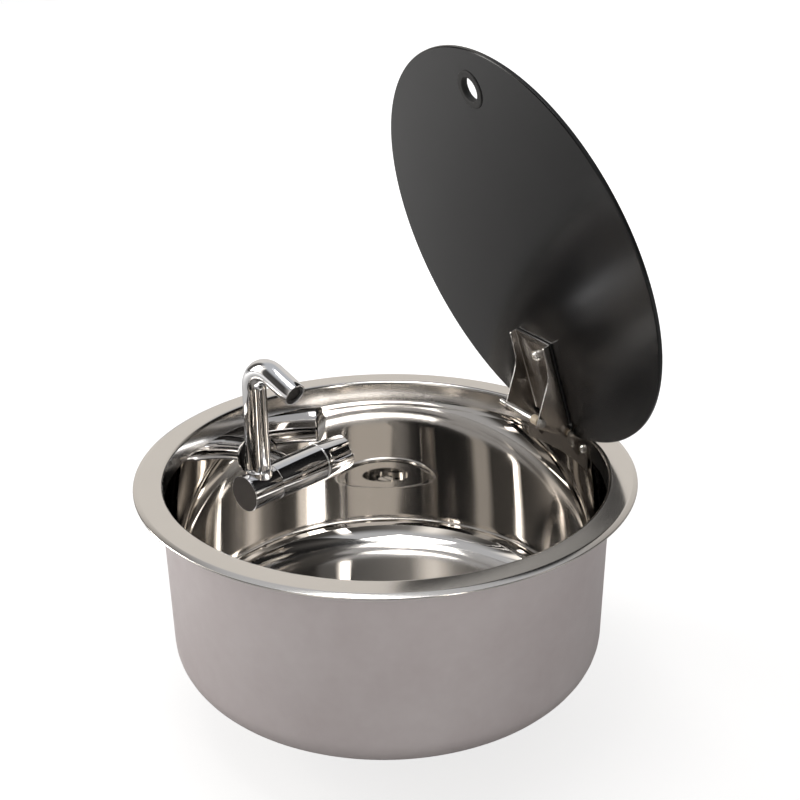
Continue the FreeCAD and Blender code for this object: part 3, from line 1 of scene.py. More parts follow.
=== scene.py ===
"""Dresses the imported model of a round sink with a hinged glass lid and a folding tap.

Lengths in this script are in millimetres until a piece is finished, and metres after that.
"""
import json
from math import atan2, ceil, cos, pi, radians, sin, tan

import bmesh
import bpy
from mathutils import Matrix, Vector


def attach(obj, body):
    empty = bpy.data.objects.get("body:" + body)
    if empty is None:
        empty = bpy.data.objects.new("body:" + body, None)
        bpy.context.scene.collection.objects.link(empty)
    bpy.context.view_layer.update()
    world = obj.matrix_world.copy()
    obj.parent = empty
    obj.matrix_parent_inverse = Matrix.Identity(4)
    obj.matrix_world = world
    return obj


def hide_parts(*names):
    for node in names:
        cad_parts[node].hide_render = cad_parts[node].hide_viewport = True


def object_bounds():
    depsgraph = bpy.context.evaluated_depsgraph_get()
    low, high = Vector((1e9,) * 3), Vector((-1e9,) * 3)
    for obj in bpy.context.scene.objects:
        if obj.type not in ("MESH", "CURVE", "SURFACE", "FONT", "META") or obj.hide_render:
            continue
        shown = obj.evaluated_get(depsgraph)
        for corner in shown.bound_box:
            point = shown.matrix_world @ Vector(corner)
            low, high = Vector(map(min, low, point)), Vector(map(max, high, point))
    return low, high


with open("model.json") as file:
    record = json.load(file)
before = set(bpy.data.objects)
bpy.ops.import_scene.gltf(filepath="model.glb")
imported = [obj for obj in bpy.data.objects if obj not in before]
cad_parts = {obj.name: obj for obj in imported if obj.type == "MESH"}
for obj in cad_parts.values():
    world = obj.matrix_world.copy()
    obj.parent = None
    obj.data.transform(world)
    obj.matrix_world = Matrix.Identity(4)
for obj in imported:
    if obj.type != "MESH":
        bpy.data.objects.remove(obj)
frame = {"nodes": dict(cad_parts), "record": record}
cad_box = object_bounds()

MM = 0.001
ROUND_STEP = radians(9)
TURN_STEPS = 192
TAP_STEPS = TURN_STEPS // 2
SMALL_STEPS = 64
WELD = 1e-4
CUT_PAST = 5.0

# the sink's own sizes
RIM_TOP = 3.5
COLLAR_R = 186.0
RIM_FLAT_R = 204.0
RIM_EDGE_R = 210.0
WALL_IN_R = 187.15
WALL_OUT_R = 188.15
DRAW_IN = 2.3
WALL_TOP = 0.5
WALL_BEND = -23.5
UNDERSIDE = -170.5
FLOOR = -169.5
FLOOR_DULL_TOP = FLOOR + 9
FLOOR_DULL_FULL = FLOOR + 1
RECESS_R = 39.0
RECESS_FLOOR = -174.5
OUTLET_R = 23.0
BOTTOM_R = 30.0

# the lid, drawn closed about its hinge
HINGE_Y = 173.5
HINGE_Z = 1.7
LID_OPEN = radians(72.5)
GLASS_R = 180.8
GLASS_UNDER = 3.6
GLASS_TOP = 7.6
FINGER_HOLE_Y = -320.3
FINGER_HOLE_R = 14.0
GROMMET_IN_R = 10.0
GROMMET_OUT_R = 16.0
LID_SCREWS_Y = (-72.5, -24.0)
CROSS_BOLT = (0, -26.5, -25.5)

# the tap, drawn about its stem: x to the wall, y to the spout's flat end
TAP_TURN = radians(196)
TAP_DISTANCE = 132.0
TAP_OFFSET = 14.0
TAP_Z = -52.1
SPOUT_TUBE_Y = 43.8
SPOUT_TUBE_R = 10.8
SPOUT_TUBE_FOOT = 13.2
BARREL_R = 16.8
VALVE_BORE_R = 14.5
VALVE_FACE = -25.5
SPOUT_END = 60.5


def lid_place():
    """From the closed lid's own place to the opened one."""
    return Matrix.Translation((0, HINGE_Y, HINGE_Z)) @ Matrix.Rotation(-LID_OPEN, 4, "X")


def tap_place():
    """From the tap's own place to the bowl wall."""
    x = TAP_DISTANCE * cos(TAP_TURN) + TAP_OFFSET * sin(TAP_TURN)
    y = TAP_DISTANCE * sin(TAP_TURN) - TAP_OFFSET * cos(TAP_TURN)
    return Matrix.Translation((x, y, TAP_Z)) @ Matrix.Rotation(TAP_TURN, 4, "Z")


LID = lid_place()
TAP = tap_place()
ALONG_Y = Matrix.Rotation(-pi / 2, 4, "X")
ALONG_X = Matrix.Rotation(pi / 2, 4, "Y")


def put_in_scene(item):
    bpy.context.scene.collection.objects.link(item)


# ---------------------------------------------------------------- shapes
def rounded(corners):
    """Closed outline from corners given as x, y and the radius of their rounding."""
    path = []
    count = len(corners)
    for index, (x, y, radius) in enumerate(corners):
        here = Vector((x, y))
        if radius <= 0:
            path.append(here)
            continue
        before = (Vector(corners[index - 1][:2]) - here).normalized()
        after = (Vector(corners[(index + 1) % count][:2]) - here).normalized()
        half = before.angle(after) / 2
        centre = here + (before + after).normalized() * (radius / sin(half))
        start = here + before * (radius / tan(half)) - centre
        end = here + after * (radius / tan(half)) - centre
        sweep = pi - 2 * half
        if start.cross(end) < 0:
            sweep = -sweep
        steps = max(2, ceil(abs(sweep) / ROUND_STEP))
        for step in range(steps + 1):
            turn = Matrix.Rotation(sweep * step / steps, 2)
            path.append(centre + turn @ start)
    return path


def turned(corners, steps=SMALL_STEPS):
    """A closed half section of radius and height corners, spun about z."""
    bm = bmesh.new()
    verts = [bm.verts.new((point.x, 0, point.y)) for point in rounded(corners)]
    edges = [bm.edges.new((verts[index - 1], verts[index])) for index in range(len(verts))]
    bmesh.ops.spin(bm, geom=verts + edges, axis=(0, 0, 1), cent=(0, 0, 0), steps=steps, angle=2 * pi,
                   use_merge=True, use_duplicate=False)
    bmesh.ops.remove_doubles(bm, verts=bm.verts, dist=WELD)
    bmesh.ops.dissolve_degenerate(bm, edges=bm.edges, dist=1e-5)
    bmesh.ops.recalc_face_normals(bm, faces=bm.faces)
    return bm


def prism(path, low, high):
    """A closed outline in x and y, pulled up from one height to another."""
    bm = bmesh.new()
    face = bm.faces.new([bm.verts.new((point[0], point[1], low)) for point in path])
    grown = bmesh.ops.extrude_face_region(bm, geom=[face])
    tops = [item for item in grown["geom"] if isinstance(item, bmesh.types.BMVert)]
    bmesh.ops.translate(bm, verts=tops, vec=(0, 0, high - low))
    bmesh.ops.recalc_face_normals(bm, faces=bm.faces)
    return bm


def rod(radius, low, high, place=Matrix()):
    """A plain closed rod, used as a cutter."""
    bm = turned([(0, low, 0), (radius, low, 0), (radius, high, 0), (0, high, 0)])
    bmesh.ops.transform(bm, matrix=place, verts=bm.verts)
    return bm


def block(low, high):
    """A closed box between two corners."""
    bm = bmesh.new()
    bmesh.ops.create_cube(bm, size=1)
    size = [b - a for a, b in zip(low, high)]
    middle = [(a + b) / 2 for a, b in zip(low, high)]
    bmesh.ops.scale(bm, vec=size, verts=bm.verts)
    bmesh.ops.translate(bm, vec=middle, verts=bm.verts)
    return bm


def moved(bm, matrix):
    bmesh.ops.transform(bm, matrix=matrix, verts=bm.verts)
    return bm


def joined(*shapes):
    """Several shapes in one mesh."""
    whole = bmesh.new()
    for shape in shapes:
        mesh = bpy.data.meshes.new("joined")
        shape.to_mesh(mesh)
        shape.free()
        whole.from_mesh(mesh)
        bpy.data.meshes.remove(mesh)
    return whole


def carved(shape, tool, operation="DIFFERENCE"):
    """A shape cut by another closed shape, or kept only inside it."""
    pair = []
    for source in (shape, tool):
        mesh = bpy.data.meshes.new("carve")
        source.to_mesh(mesh)
        source.free()
        item = bpy.data.objects.new("carve", mesh)
        put_in_scene(item)
        pair.append(item)
    cut = pair[0].modifiers.new("carve", "BOOLEAN")
    cut.operation = operation
    cut.solver = "EXACT"
    cut.object = pair[1]
    depsgraph = bpy.context.evaluated_depsgraph_get()
    result = bpy.data.meshes.new_from_object(pair[0].evaluated_get(depsgraph))
    out = bmesh.new()
    out.from_mesh(result)
    bpy.data.meshes.remove(result)
    for item in pair:
        mesh = item.data
        bpy.data.objects.remove(item)
        bpy.data.meshes.remove(mesh)
    return out


def soften(bm, offset, angle=radians(40), material=-1, segments=2):
    """Bevel every edge that turns by more than an angle."""
    bmesh.ops.remove_doubles(bm, verts=bm.verts, dist=WELD)
    sharp = [edge for edge in bm.edges if len(edge.link_faces) == 2 and edge.calc_face_angle() > angle]
    bmesh.ops.bevel(bm, geom=sharp, offset=offset, segments=segments, profile=0.5, affect="EDGES",
                    material=material, clamp_overlap=True)
    return bm


def piece(name, bm, body, materials, place=None, stands_for=(), sharp=35):
    """Finish a shape as an object that rides on a body and stands for CAD nodes."""
    if place:
        bmesh.ops.transform(bm, matrix=place, verts=bm.verts)
    bmesh.ops.scale(bm, vec=(MM, MM, MM), verts=bm.verts)
    mesh = bpy.data.meshes.new(name)
    bm.to_mesh(mesh)
    bm.free()
    for material in materials:
        mesh.materials.append(material)
    for face in mesh.polygons:
        face.use_smooth = True
    mesh.set_sharp_from_angle(angle=radians(sharp))
    item = bpy.data.objects.new(name, mesh)
    put_in_scene(item)
    if stands_for:
        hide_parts(*stands_for)
    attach(item, body)


# ---------------------------------------------------------------- shared effects
def new_group(name, inputs, outputs):
    """An empty node group with its input and output nodes."""
    group = bpy.data.node_groups.new(name, "ShaderNodeTree")
    for label, kind, default in inputs:
        socket = group.interface.new_socket(name=label, in_out="INPUT", socket_type=kind)
        if default is not None:
            socket.default_value = default
    for label, kind in outputs:
        group.interface.new_socket(name=label, in_out="OUTPUT", socket_type=kind)
    return group, group.nodes.new("NodeGroupInput"), group.nodes.new("NodeGroupOutput")


def math_node(tree, operation, first, second=None, clamp=False):
    """A Math node fed by sockets or numbers."""
    node = tree.nodes.new("ShaderNodeMath")
    node.operation = operation
    node.use_clamp = clamp
    for index, source in enumerate((first, second)):
        if source is None:
            continue
        if isinstance(source, (int, float)):
            node.inputs[index].default_value = source
        else:
            tree.links.new(source, node.inputs[index])
    return node.outputs[0]


def spread(tree, source, low, high):
    """Map a 0..1 socket to a range."""
    node = tree.nodes.new("ShaderNodeMapRange")
    node.inputs["To Min"].default_value = low
    node.inputs["To Max"].default_value = high
    tree.links.new(source, node.inputs["Value"])
    return node.outputs["Result"]


def weighted(tree, first, share, second, rest=None):
    """A share of one socket added to a share of another, or to a plain number."""
    mixed = math_node(tree, "MULTIPLY_ADD", first, share)
    if rest is None:
        mixed.node.inputs[2].default_value = second
    else:
        tree.links.new(math_node(tree, "MULTIPLY", second, rest), mixed.node.inputs[2])
    return mixed


def smooth_range(tree, source, start, end, top=1.0):
    """Nothing at the start, the top value at the end, and a soft step between them."""
    node = tree.nodes.new("ShaderNodeMapRange")
    node.interpolation_type = "SMOOTHSTEP"
    node.inputs["From Min"].default_value = start
    node.inputs["From Max"].default_value = end
    node.inputs["To Max"].default_value = top
    tree.links.new(source, node.inputs["Value"])
    return node.outputs["Result"]


def noise_node(tree, vector, scale, detail=3.0, rough=0.55, dimensions="3D"):
    node = tree.nodes.new("ShaderNodeTexNoise")
    node.noise_dimensions = dimensions
    node.inputs["Scale"].default_value = scale
    node.inputs["Detail"].default_value = detail
    node.inputs["Roughness"].default_value = rough
    if vector is not None:
        tree.links.new(vector, node.inputs["W" if dimensions == "1D" else "Vector"])
    return node.outputs["Fac"]


def make_smudge_group():
    """Soft patches of handling and cleaning marks: a mask with a few finer specks in it."""
    group, given, put = new_group("smudges", [("Vector", "NodeSocketVector", None),
                                              ("Size", "NodeSocketFloat", 20.0)],
                                  [("Mask", "NodeSocketFloat")])
    stretch = group.nodes.new("ShaderNodeVectorMath")
    stretch.operation = "SCALE"
    group.links.new(given.outputs["Vector"], stretch.inputs[0])
    group.links.new(given.outputs["Size"], stretch.inputs["Scale"])
    wide = noise_node(group, stretch.outputs[0], 1.0, 4.0, 0.6)
    fine = noise_node(group, stretch.outputs[0], 9.0, 2.0, 0.5)
    mixed = weighted(group, fine, 0.25, -0.12)
    whole = math_node(group, "ADD", wide, mixed, clamp=True)
    group.links.new(whole, put.inputs["Mask"])
    return group


def make_grain_group():
    """Fine brushed lines along one direction, as a height and a mask."""
    group, given, put = new_group("brushed_grain", [("Vector", "NodeSocketVector", None),
                                                    ("Density", "NodeSocketFloat", 400.0)],
                                  [("Mask", "NodeSocketFloat")])
    scaled = group.nodes.new("ShaderNodeVectorMath")
    scaled.operation = "SCALE"
    group.links.new(given.outputs["Vector"], scaled.inputs[0])
    group.links.new(given.outputs["Density"], scaled.inputs["Scale"])
    lines = noise_node(group, scaled.outputs[0], 1.0, 4.0, 0.7)
    group.links.new(lines, put.inputs["Mask"])
    return group


def make_polish_group():
    """Rings left by polishing on a turntable: depends on the distance from the z axis."""
    group, given, put = new_group("polish_rings", [("Vector", "NodeSocketVector", None),
                                                   ("Density", "NodeSocketFloat", 900.0)],
                                  [("Mask", "NodeSocketFloat")])
    split = group.nodes.new("ShaderNodeSeparateXYZ")
    group.links.new(given.outputs["Vector"], split.inputs[0])
    square = math_node(group, "ADD", math_node(group, "MULTIPLY", split.outputs[0], split.outputs[0]),
                       math_node(group, "MULTIPLY", split.outputs[1], split.outputs[1]))
    radius = math_node(group, "SQRT", square)
    where = math_node(group, "ADD", radius, split.outputs[2])
    fine = math_node(group, "MULTIPLY", where, given.outputs["Density"])
    rings = noise_node(group, fine, 1.0, 3.0, 0.6, "1D")
    group.links.new(rings, put.inputs["Mask"])
    return group


SMUDGES = make_smudge_group()
GRAIN = make_grain_group()
POLISH = make_polish_group()


def place_group(tree, group, vector, **values):
    """Use a shared effect on a vector, and give its mask."""
    node = tree.nodes.new("ShaderNodeGroup")
    node.node_tree = group
    tree.links.new(vector, node.inputs["Vector"])
    for label, number in values.items():
        node.inputs[label].default_value = number
    return node.outputs["Mask"]


def object_place(tree, stretch=(1, 1, 1), turn=(0, 0, 0)):
    """Object coordinates, stretched and turned."""
    coordinates = tree.nodes.new("ShaderNodeTexCoord")
    mapping = tree.nodes.new("ShaderNodeMapping")
    mapping.vector_type = "TEXTURE"
    mapping.inputs["Scale"].default_value = stretch
    mapping.inputs["Rotation"].default_value = turn
    tree.links.new(coordinates.outputs["Object"], mapping.inputs["Vector"])
    return mapping.outputs[0]


def bump(tree, height, strength, distance):
    node = tree.nodes.new("ShaderNodeBump")
    node.inputs["Strength"].default_value = strength
    node.inputs["Distance"].default_value = distance
    tree.links.new(height, node.inputs["Height"])
    return node.outputs["Normal"]


def blend_colours(tree, mask, first, second):
    node = tree.nodes.new("ShaderNodeMix")
    node.data_type = "RGBA"
    node.inputs["A"].default_value = (*first, 1)
    node.inputs["B"].default_value = (*second, 1)
    tree.links.new(mask, node.inputs["Factor"])
    return node.outputs["Result"]


def new_material(name, colour, metallic=0.0, roughness=0.5, **sockets):
    """A material with one Principled shader and its steady values."""
    material = bpy.data.materials.new(name)
    material.use_nodes = True
    tree = material.node_tree
    shader = tree.nodes["Principled BSDF"]
    shader.inputs["Base Color"].default_value = (*colour, 1)
    shader.inputs["Metallic"].default_value = metallic
    shader.inputs["Roughness"].default_value = roughness
    for label, number in sockets.items():
        shader.inputs[label.replace("_", " ")].default_value = number
    return material, tree, shader


# ---------------------------------------------------------------- finishes
def polished_steel(name, colour, rough_low, rough_high, floor_rough=0.0):
    """Mirror-bright pressed sheet with polishing rings and faint water marks; a duller floor."""
    material, tree, shader = new_material(name, colour, 1.0, rough_low)
    where = object_place(tree)
    marks = place_group(tree, SMUDGES, where, Size=14.0)
    rings = place_group(tree, POLISH, where, Density=1500.0)
    mixed = weighted(tree, rings, 0.35, marks, 0.65)
    rough = spread(tree, mixed, rough_low, rough_high)
    if floor_rough:
        split = tree.nodes.new("ShaderNodeSeparateXYZ")
        tree.links.new(where, split.inputs[0])
        duller = smooth_range(tree, split.outputs[2], FLOOR_DULL_TOP * MM, FLOOR_DULL_FULL * MM, floor_rough)
        rough = math_node(tree, "ADD", rough, duller)
    tree.links.new(rough, shader.inputs["Roughness"])
    darker = tuple(part * 0.93 for part in colour)
    tree.links.new(blend_colours(tree, marks, colour, darker), shader.inputs["Base Color"])
    if not floor_rough:
        tree.links.new(bump(tree, rings, 0.04, 0.0001), shader.inputs["Normal"])
    return material


def mill_steel():
    """Outside of the pressed bowl: dull rolled sheet with pink-grey patches and draw marks."""
    colour = (0.74, 0.675, 0.68)
    material, tree, shader = new_material("mill_steel", colour, 0.55, 0.46)
    where = object_place(tree)
    clouds = place_group(tree, SMUDGES, where, Size=11.0)
    specks = place_group(tree, SMUDGES, where, Size=55.0)
    streaks = place_group(tree, GRAIN, object_place(tree, (1, 1, 14)), Density=260.0)
    patches = blend_colours(tree, clouds, (0.93, 0.875, 0.88), (0.74, 0.66, 0.665))
    tree.links.new(patches, shader.inputs["Base Color"])
    mixed = weighted(tree, specks, 0.5, streaks, 0.5)
    tree.links.new(spread(tree, mixed, 0.34, 0.52), shader.inputs["Roughness"])
    tree.links.new(bump(tree, mixed, 0.16, 0.0006), shader.inputs["Normal"])
    return material


def brushed_steel(name, colour, rough_low, rough_high, stretch, turn=(0, 0, 0), bumps=0.12):
    """Brushed sheet whose lines run along the stretched direction."""
    material, tree, shader = new_material(name, colour, 1.0, rough_low)
    lines = place_group(tree, GRAIN, object_place(tree, stretch, turn), Density=900.0)
    marks = place_group(tree, SMUDGES, object_place(tree), Size=60.0)
    mixed = weighted(tree, lines, 0.6, marks, 0.4)
    tree.links.new(spread(tree, mixed, rough_low, rough_high), shader.inputs["Roughness"])
    darker = tuple(part * 0.86 for part in colour)
    tree.links.new(blend_colours(tree, marks, colour, darker), shader.inputs["Base Color"])
    tree.links.new(bump(tree, lines, bumps, 0.0002), shader.inputs["Normal"])
    return material


def chrome(name, colour=(0.83, 0.83, 0.84)):
    """Bright plate with finger marks and fine wiping scratches."""
    material, tree, shader = new_material(name, colour, 1.0, 0.05)
    where = object_place(tree)
    marks = place_group(tree, SMUDGES, where, Size=90.0)
    wipes = place_group(tree, GRAIN, object_place(tree, (6, 1, 1), (0, 0, 0.6)), Density=1200.0)
    mixed = weighted(tree, wipes, 0.3, marks, 0.7)
    tree.links.new(spread(tree, mixed, 0.025, 0.11), shader.inputs["Roughness"])
    tree.links.new(bump(tree, wipes, 0.03, 0.0001), shader.inputs["Normal"])
    return material


def black_glass():
    """Tinted toughened glass: deep black, glossy, with faint dust and wiping marks."""
    material, tree, shader = new_material("black_glass", (0.004, 0.004, 0.0045), 0.0, 0.3, IOR=1.42)
    where = object_place(tree)
    dust = place_group(tree, SMUDGES, where, Size=30.0)
    wipes = place_group(tree, SMUDGES, object_place(tree, (1, 3, 3), (0.3, 0, 0.5)), Size=9.0)
    tree.links.new(blend_colours(tree, dust, (0.003, 0.003, 0.0035), (0.009, 0.009, 0.0095)),
                   shader.inputs["Base Color"])
    tree.links.new(spread(tree, wipes, 0.15, 0.23), shader.inputs["Roughness"])
    return material


def rubber():
    """Matt black rubber with pale dust in its grain."""
    material, tree, shader = new_material("black_rubber", (0.012, 0.012, 0.012), 0.0, 0.6)
    where = object_place(tree)
    dust = place_group(tree, SMUDGES, where, Size=120.0)
    dusted = blend_colours(tree, dust, (0.010, 0.010, 0.010), (0.028, 0.027, 0.026))
    tree.links.new(dusted, shader.inputs["Base Color"])
    tree.links.new(spread(tree, dust, 0.45, 0.75), shader.inputs["Roughness"])
    grain = place_group(tree, GRAIN, where, Density=1500.0)
    tree.links.new(bump(tree, grain, 0.15, 0.0001), shader.inputs["Normal"])
    return material


def moulded(name, light, dark, rough_low, rough_high, **sockets):
    """Moulded plastic with a fine skin and slight colour drift."""
    material, tree, shader = new_material(name, light, 0.0, rough_low, **sockets)
    where = object_place(tree)
    drift = place_group(tree, SMUDGES, where, Size=70.0)
    skin = place_group(tree, GRAIN, where, Density=2400.0)
    tree.links.new(blend_colours(tree, drift, light, dark), shader.inputs["Base Color"])
    tree.links.new(spread(tree, drift, rough_low, rough_high), shader.inputs["Roughness"])
    tree.links.new(bump(tree, skin, 0.10, 0.0001), shader.inputs["Normal"])
    return material


def aerator_mesh():
    """Wire screen, dark and wet, with fine cells whose darker middles are painted shade in the openings."""
    material, tree, shader = new_material("aerator_screen", (0.05, 0.05, 0.05), 0.6, 0.45)
    weave = tree.nodes.new("ShaderNodeTexVoronoi")
    weave.inputs["Scale"].default_value = 900.0
    tree.links.new(object_place(tree), weave.inputs["Vector"])
    # painted shade: the sunken middles of the cells, the openings, are darker than the wires
    holes = spread(tree, weave.outputs["Distance"], 0.0, 1.0)
    wires_and_shaded_openings = blend_colours(tree, holes, (0.012, 0.011, 0.011), (0.09, 0.085, 0.08))
    tree.links.new(wires_and_shaded_openings, shader.inputs["Base Color"])
    tree.links.new(bump(tree, holes, 0.6, 0.0003), shader.inputs["Normal"])
    return material


INSIDE = polished_steel("bowl_inside", (0.80, 0.775, 0.745), 0.008, 0.035, 0.12)
RIM = polished_steel("rim_polish", (0.80, 0.77, 0.735), 0.10, 0.20)
OUTSIDE = mill_steel()
BRACKET = brushed_steel("bracket_sheet", (0.40, 0.37, 0.34), 0.22, 0.30, (1, 14, 1), bumps=0.03)
# lighter finish for the bracket's cut edges: a painted highlight along them
CUT_EDGE_HIGHLIGHT = brushed_steel("cut_edge_painted_highlight", (0.86, 0.84, 0.82), 0.14, 0.24, (1, 1, 4))
SCREWS = brushed_steel("bright_fastener", (0.88, 0.87, 0.85), 0.12, 0.22, (8, 1, 1), bumps=0.04)
CHROME = chrome("chrome_plate")
END_CAP = brushed_steel("matt_cap", (0.30, 0.285, 0.28), 0.5, 0.62, (4, 1, 1))
GLASS = black_glass()
RUBBER = rubber()
TRIM = brushed_steel("seam_plate", (0.92, 0.92, 0.92), 0.22, 0.34, (1, 1, 4))
NYLON = moulded("nylon", (0.62, 0.53, 0.40), (0.54, 0.45, 0.33), 0.35, 0.5)
BLACK_PLASTIC = moulded("black_moulding", (0.014, 0.014, 0.015), (0.03, 0.03, 0.031), 0.35, 0.55)
BRASS = brushed_steel("turned_brass", (0.62, 0.45, 0.20), 0.22, 0.38, (1, 1, 6))
SCREEN = aerator_mesh()

NODE_FINISH = {
    "bowl_steel": INSIDE, "bracket_steel": BRACKET, "screw_steel": SCREWS, "chrome": CHROME,
    "cap_metal": END_CAP, "tinted_glass": GLASS, "seal_rubber": RUBBER, "black_plastic": BLACK_PLASTIC,
    "clear_nylon": NYLON, "brass": BRASS, "mesh": SCREEN}


def finish_nodes():
    """Give every CAD node the finish of its slot."""
    slots = {part["node"]: part["material_slot"] for part in frame["record"]["subparts"]}
    for name, item in frame["nodes"].items():
        item.data.materials.clear()
        item.data.materials.append(NODE_FINISH[slots[name]])


# ---------------------------------------------------------------- sink
def build_bowl():
    """Pressed bowl with its waste recess: polished inside, dull outside."""
    foot_in = WALL_IN_R - DRAW_IN
    foot_out = WALL_OUT_R - DRAW_IN
    wall = WALL_OUT_R - WALL_IN_R
    bm = turned([
        (WALL_OUT_R, WALL_TOP, 0.3), (WALL_OUT_R, WALL_BEND, 60), (foot_out, UNDERSIDE, BOTTOM_R),
        (RECESS_R + wall, UNDERSIDE, 3), (RECESS_R + wall, RECESS_FLOOR - wall, 0.6),
        (OUTLET_R, RECESS_FLOOR - wall, 0),
        (OUTLET_R, RECESS_FLOOR, 0.3), (RECESS_R, RECESS_FLOOR, 1), (RECESS_R, FLOOR, 4),
        (foot_in, FLOOR, BOTTOM_R - wall), (WALL_IN_R, WALL_BEND, 60),
        (WALL_IN_R, WALL_TOP, 0.3)], TURN_STEPS)
    for face in bm.faces:
        middle = face.calc_center_median()
        outward = face.normal.x * middle.x + face.normal.y * middle.y
        outside = outward > 1e-6 if middle.z > FLOOR + BOTTOM_R else face.normal.z < 0
        face.material_index = 1 if outside else 0
    piece("bowl_shell", bm, "sink", [INSIDE, OUTSIDE], stands_for=["bowl"])


def build_rim():
    """Flat rim band with its turned-down edge and the collar into the bowl."""
    sheet = 1.0
    edge = 0.4
    bm = turned([
        (COLLAR_R, -16.5, 0.4), (COLLAR_R + sheet, -16.5, 0.4), (COLLAR_R + sheet, RIM_TOP - sheet, 2.5),
        (RIM_FLAT_R, RIM_TOP - sheet, 4), (RIM_EDGE_R - sheet, edge, 0.3), (RIM_EDGE_R, edge, 0.45),
        (RIM_EDGE_R, 1.6, 1.2), (RIM_FLAT_R + 1.5, RIM_TOP, 4), (COLLAR_R, RIM_TOP, 3.5)], TURN_STEPS)
    piece("rim_band", bm, "sink", [RIM], stands_for=["rim_ring"])


# ---------------------------------------------------------------- lid
def build_glass():
    """Round pane with ground edges, a finger hole and two screw holes."""
    bevel = 0.8
    bm = turned([
        (0, GLASS_UNDER, 0), (GLASS_R - bevel, GLASS_UNDER, 0.3), (GLASS_R, GLASS_UNDER + bevel, 0.3),
        (GLASS_R, GLASS_TOP - bevel, 0.3), (GLASS_R - bevel, GLASS_TOP, 0.3), (0, GLASS_TOP, 0)], TURN_STEPS)
    moved(bm, Matrix.Translation((0, -HINGE_Y, 0)))
    low, high = GLASS_UNDER - CUT_PAST, GLASS_TOP + CUT_PAST
    bm = carved(bm, rod(FINGER_HOLE_R, low, high, place=Matrix.Translation((0, FINGER_HOLE_Y, 0))))
    for y in LID_SCREWS_Y:
        bm = carved(bm, rod(3.85, low, high, place=Matrix.Translation((0, y, 0))))
    piece("glass_disc", bm, "lid", [GLASS], LID, ["lid_glass"], sharp=25)


def build_grommet():
    """Rubber ring clipped into the finger hole, with a lip on each face."""
    lip, roll = 1.0, 0.9
    bm = turned([
        (GROMMET_IN_R, GLASS_UNDER - lip, roll), (GROMMET_OUT_R, GLASS_UNDER - lip, roll),
        (GROMMET_OUT_R, GLASS_UNDER, 0), (FINGER_HOLE_R, GLASS_UNDER, 0), (FINGER_HOLE_R, GLASS_TOP, 0),
        (GROMMET_OUT_R, GLASS_TOP, 0), (GROMMET_OUT_R, GLASS_TOP + lip, roll),
        (GROMMET_IN_R, GLASS_TOP + lip, roll)])
    moved(bm, Matrix.Translation((0, FINGER_HOLE_Y, 0)))
    piece("finger_ring", bm, "lid", [RUBBER], LID, ["finger_grommet"])


def bracket_side():
    """Side outline of the bracket: y away from the lid's middle, z up."""
    return rounded([
        (-91.8, 2.6, 0), (-91.8, -4.9, 1.5), (-62.0, -5.4, 35), (-23.0, -30.9, 3), (-3.5, -9.0, 8),
        (3.2, -3.2, 3.1), (3.2, 2.6, 3.0), (-8.0, 2.6, 0)])


def build_bracket():
    """Sheet bent to a U, cut to its side outline, with its cut edges in a lighter finish as a painted
    highlight.
    """
    half, sheet, top = 25.0, 1.2, 2.6
    inner = half - sheet
    section = rounded([
        (-half, -40, 0), (-half, top, 2.2), (half, top, 2.2), (half, -40, 0), (inner, -40, 0),
        (inner, top - sheet, 1.0), (-inner, top - sheet, 1.0), (-inner, -40, 0)])
    bent = moved(prism(section, -10, 100), Matrix.Rotation(pi / 2, 4, "X"))
    side = prism(bracket_side(), -30, 30)
    moved(side, Matrix(((0, 0, 1, 0), (1, 0, 0, 0), (0, 1, 0, 0), (0, 0, 0, 1))))
    bm = carved(bent, side, "INTERSECT")
    bm = carved(bm, block((-inner, -8, -45), (inner, 15, 15)))
    bm = carved(bm, rod(2.05, -40, 40, place=ALONG_X))
    bolt = Matrix.Translation(CROSS_BOLT) @ ALONG_X
    bm = carved(bm, rod(2.2, -40, 40, place=bolt))
    for y in LID_SCREWS_Y:
        bm = carved(bm, rod(2.8, -10, 15, place=Matrix.Translation((0, y, 0))))
    # the cut edges and the end take the lighter finish, a painted highlight
    for face in bm.faces:
        middle = face.calc_center_median()
        edge_on = abs(face.normal.x) < 0.05 and abs(middle.x) > inner - 0.05
        end_on = face.normal.y < -0.9 and middle.y < -91
        face.material_index = 1 if edge_on or end_on else 0
    soften(bm, 0.16)
    piece("lid_bracket_sheet", bm, "lid", [BRACKET, CUT_EDGE_HIGHLIGHT], LID, ["lid_bracket"])


def build_cross_tube():
    """Plain tube over the cross bolt, from the left flange to the bush."""
    bore, outer, left, right = 2.4, 3.4, -23.6, 15.0
    bm = turned([(bore, left, 0.2), (outer, left, 0.3), (outer, right, 0.3), (bore, right, 0.2)])
    place = LID @ Matrix.Translation(CROSS_BOLT) @ ALONG_X
    piece("stiffener_tube", bm, "lid", [SCREWS], place, ["cross_tube"])


# ---------------------------------------------------------------- tap
def build_tap_body():
    """Barrel with its valve bore and the spout's journal, and the stem through the wall."""
    barrel = turned([
        (VALVE_BORE_R, VALVE_FACE, 0), (18.6, VALVE_FACE, 0.4), (BARREL_R, 29.0, 0.3), (10.0, 29.0, 0),
        (10.0, 50.0, 0.5), (4.0, 50.0, 0), (4.0, 4.5, 0), (VALVE_BORE_R, 4.5, 0)], TAP_STEPS)
    moved(barrel, ALONG_Y)
    stem = turned([
        (0, 15.2, 0), (11.0, 15.2, 0), (11.0, 46.2, 0), (10.4, 46.2, 0), (10.4, 77.5, 0.8), (6.1, 77.5, 0),
        (6.1, 57.5, 0), (0, 57.5, 0)], TAP_STEPS)
    moved(stem, ALONG_X)
    piece("tap_barrel", joined(barrel, stem), "sink", [CHROME], TAP, ["tap_body"])


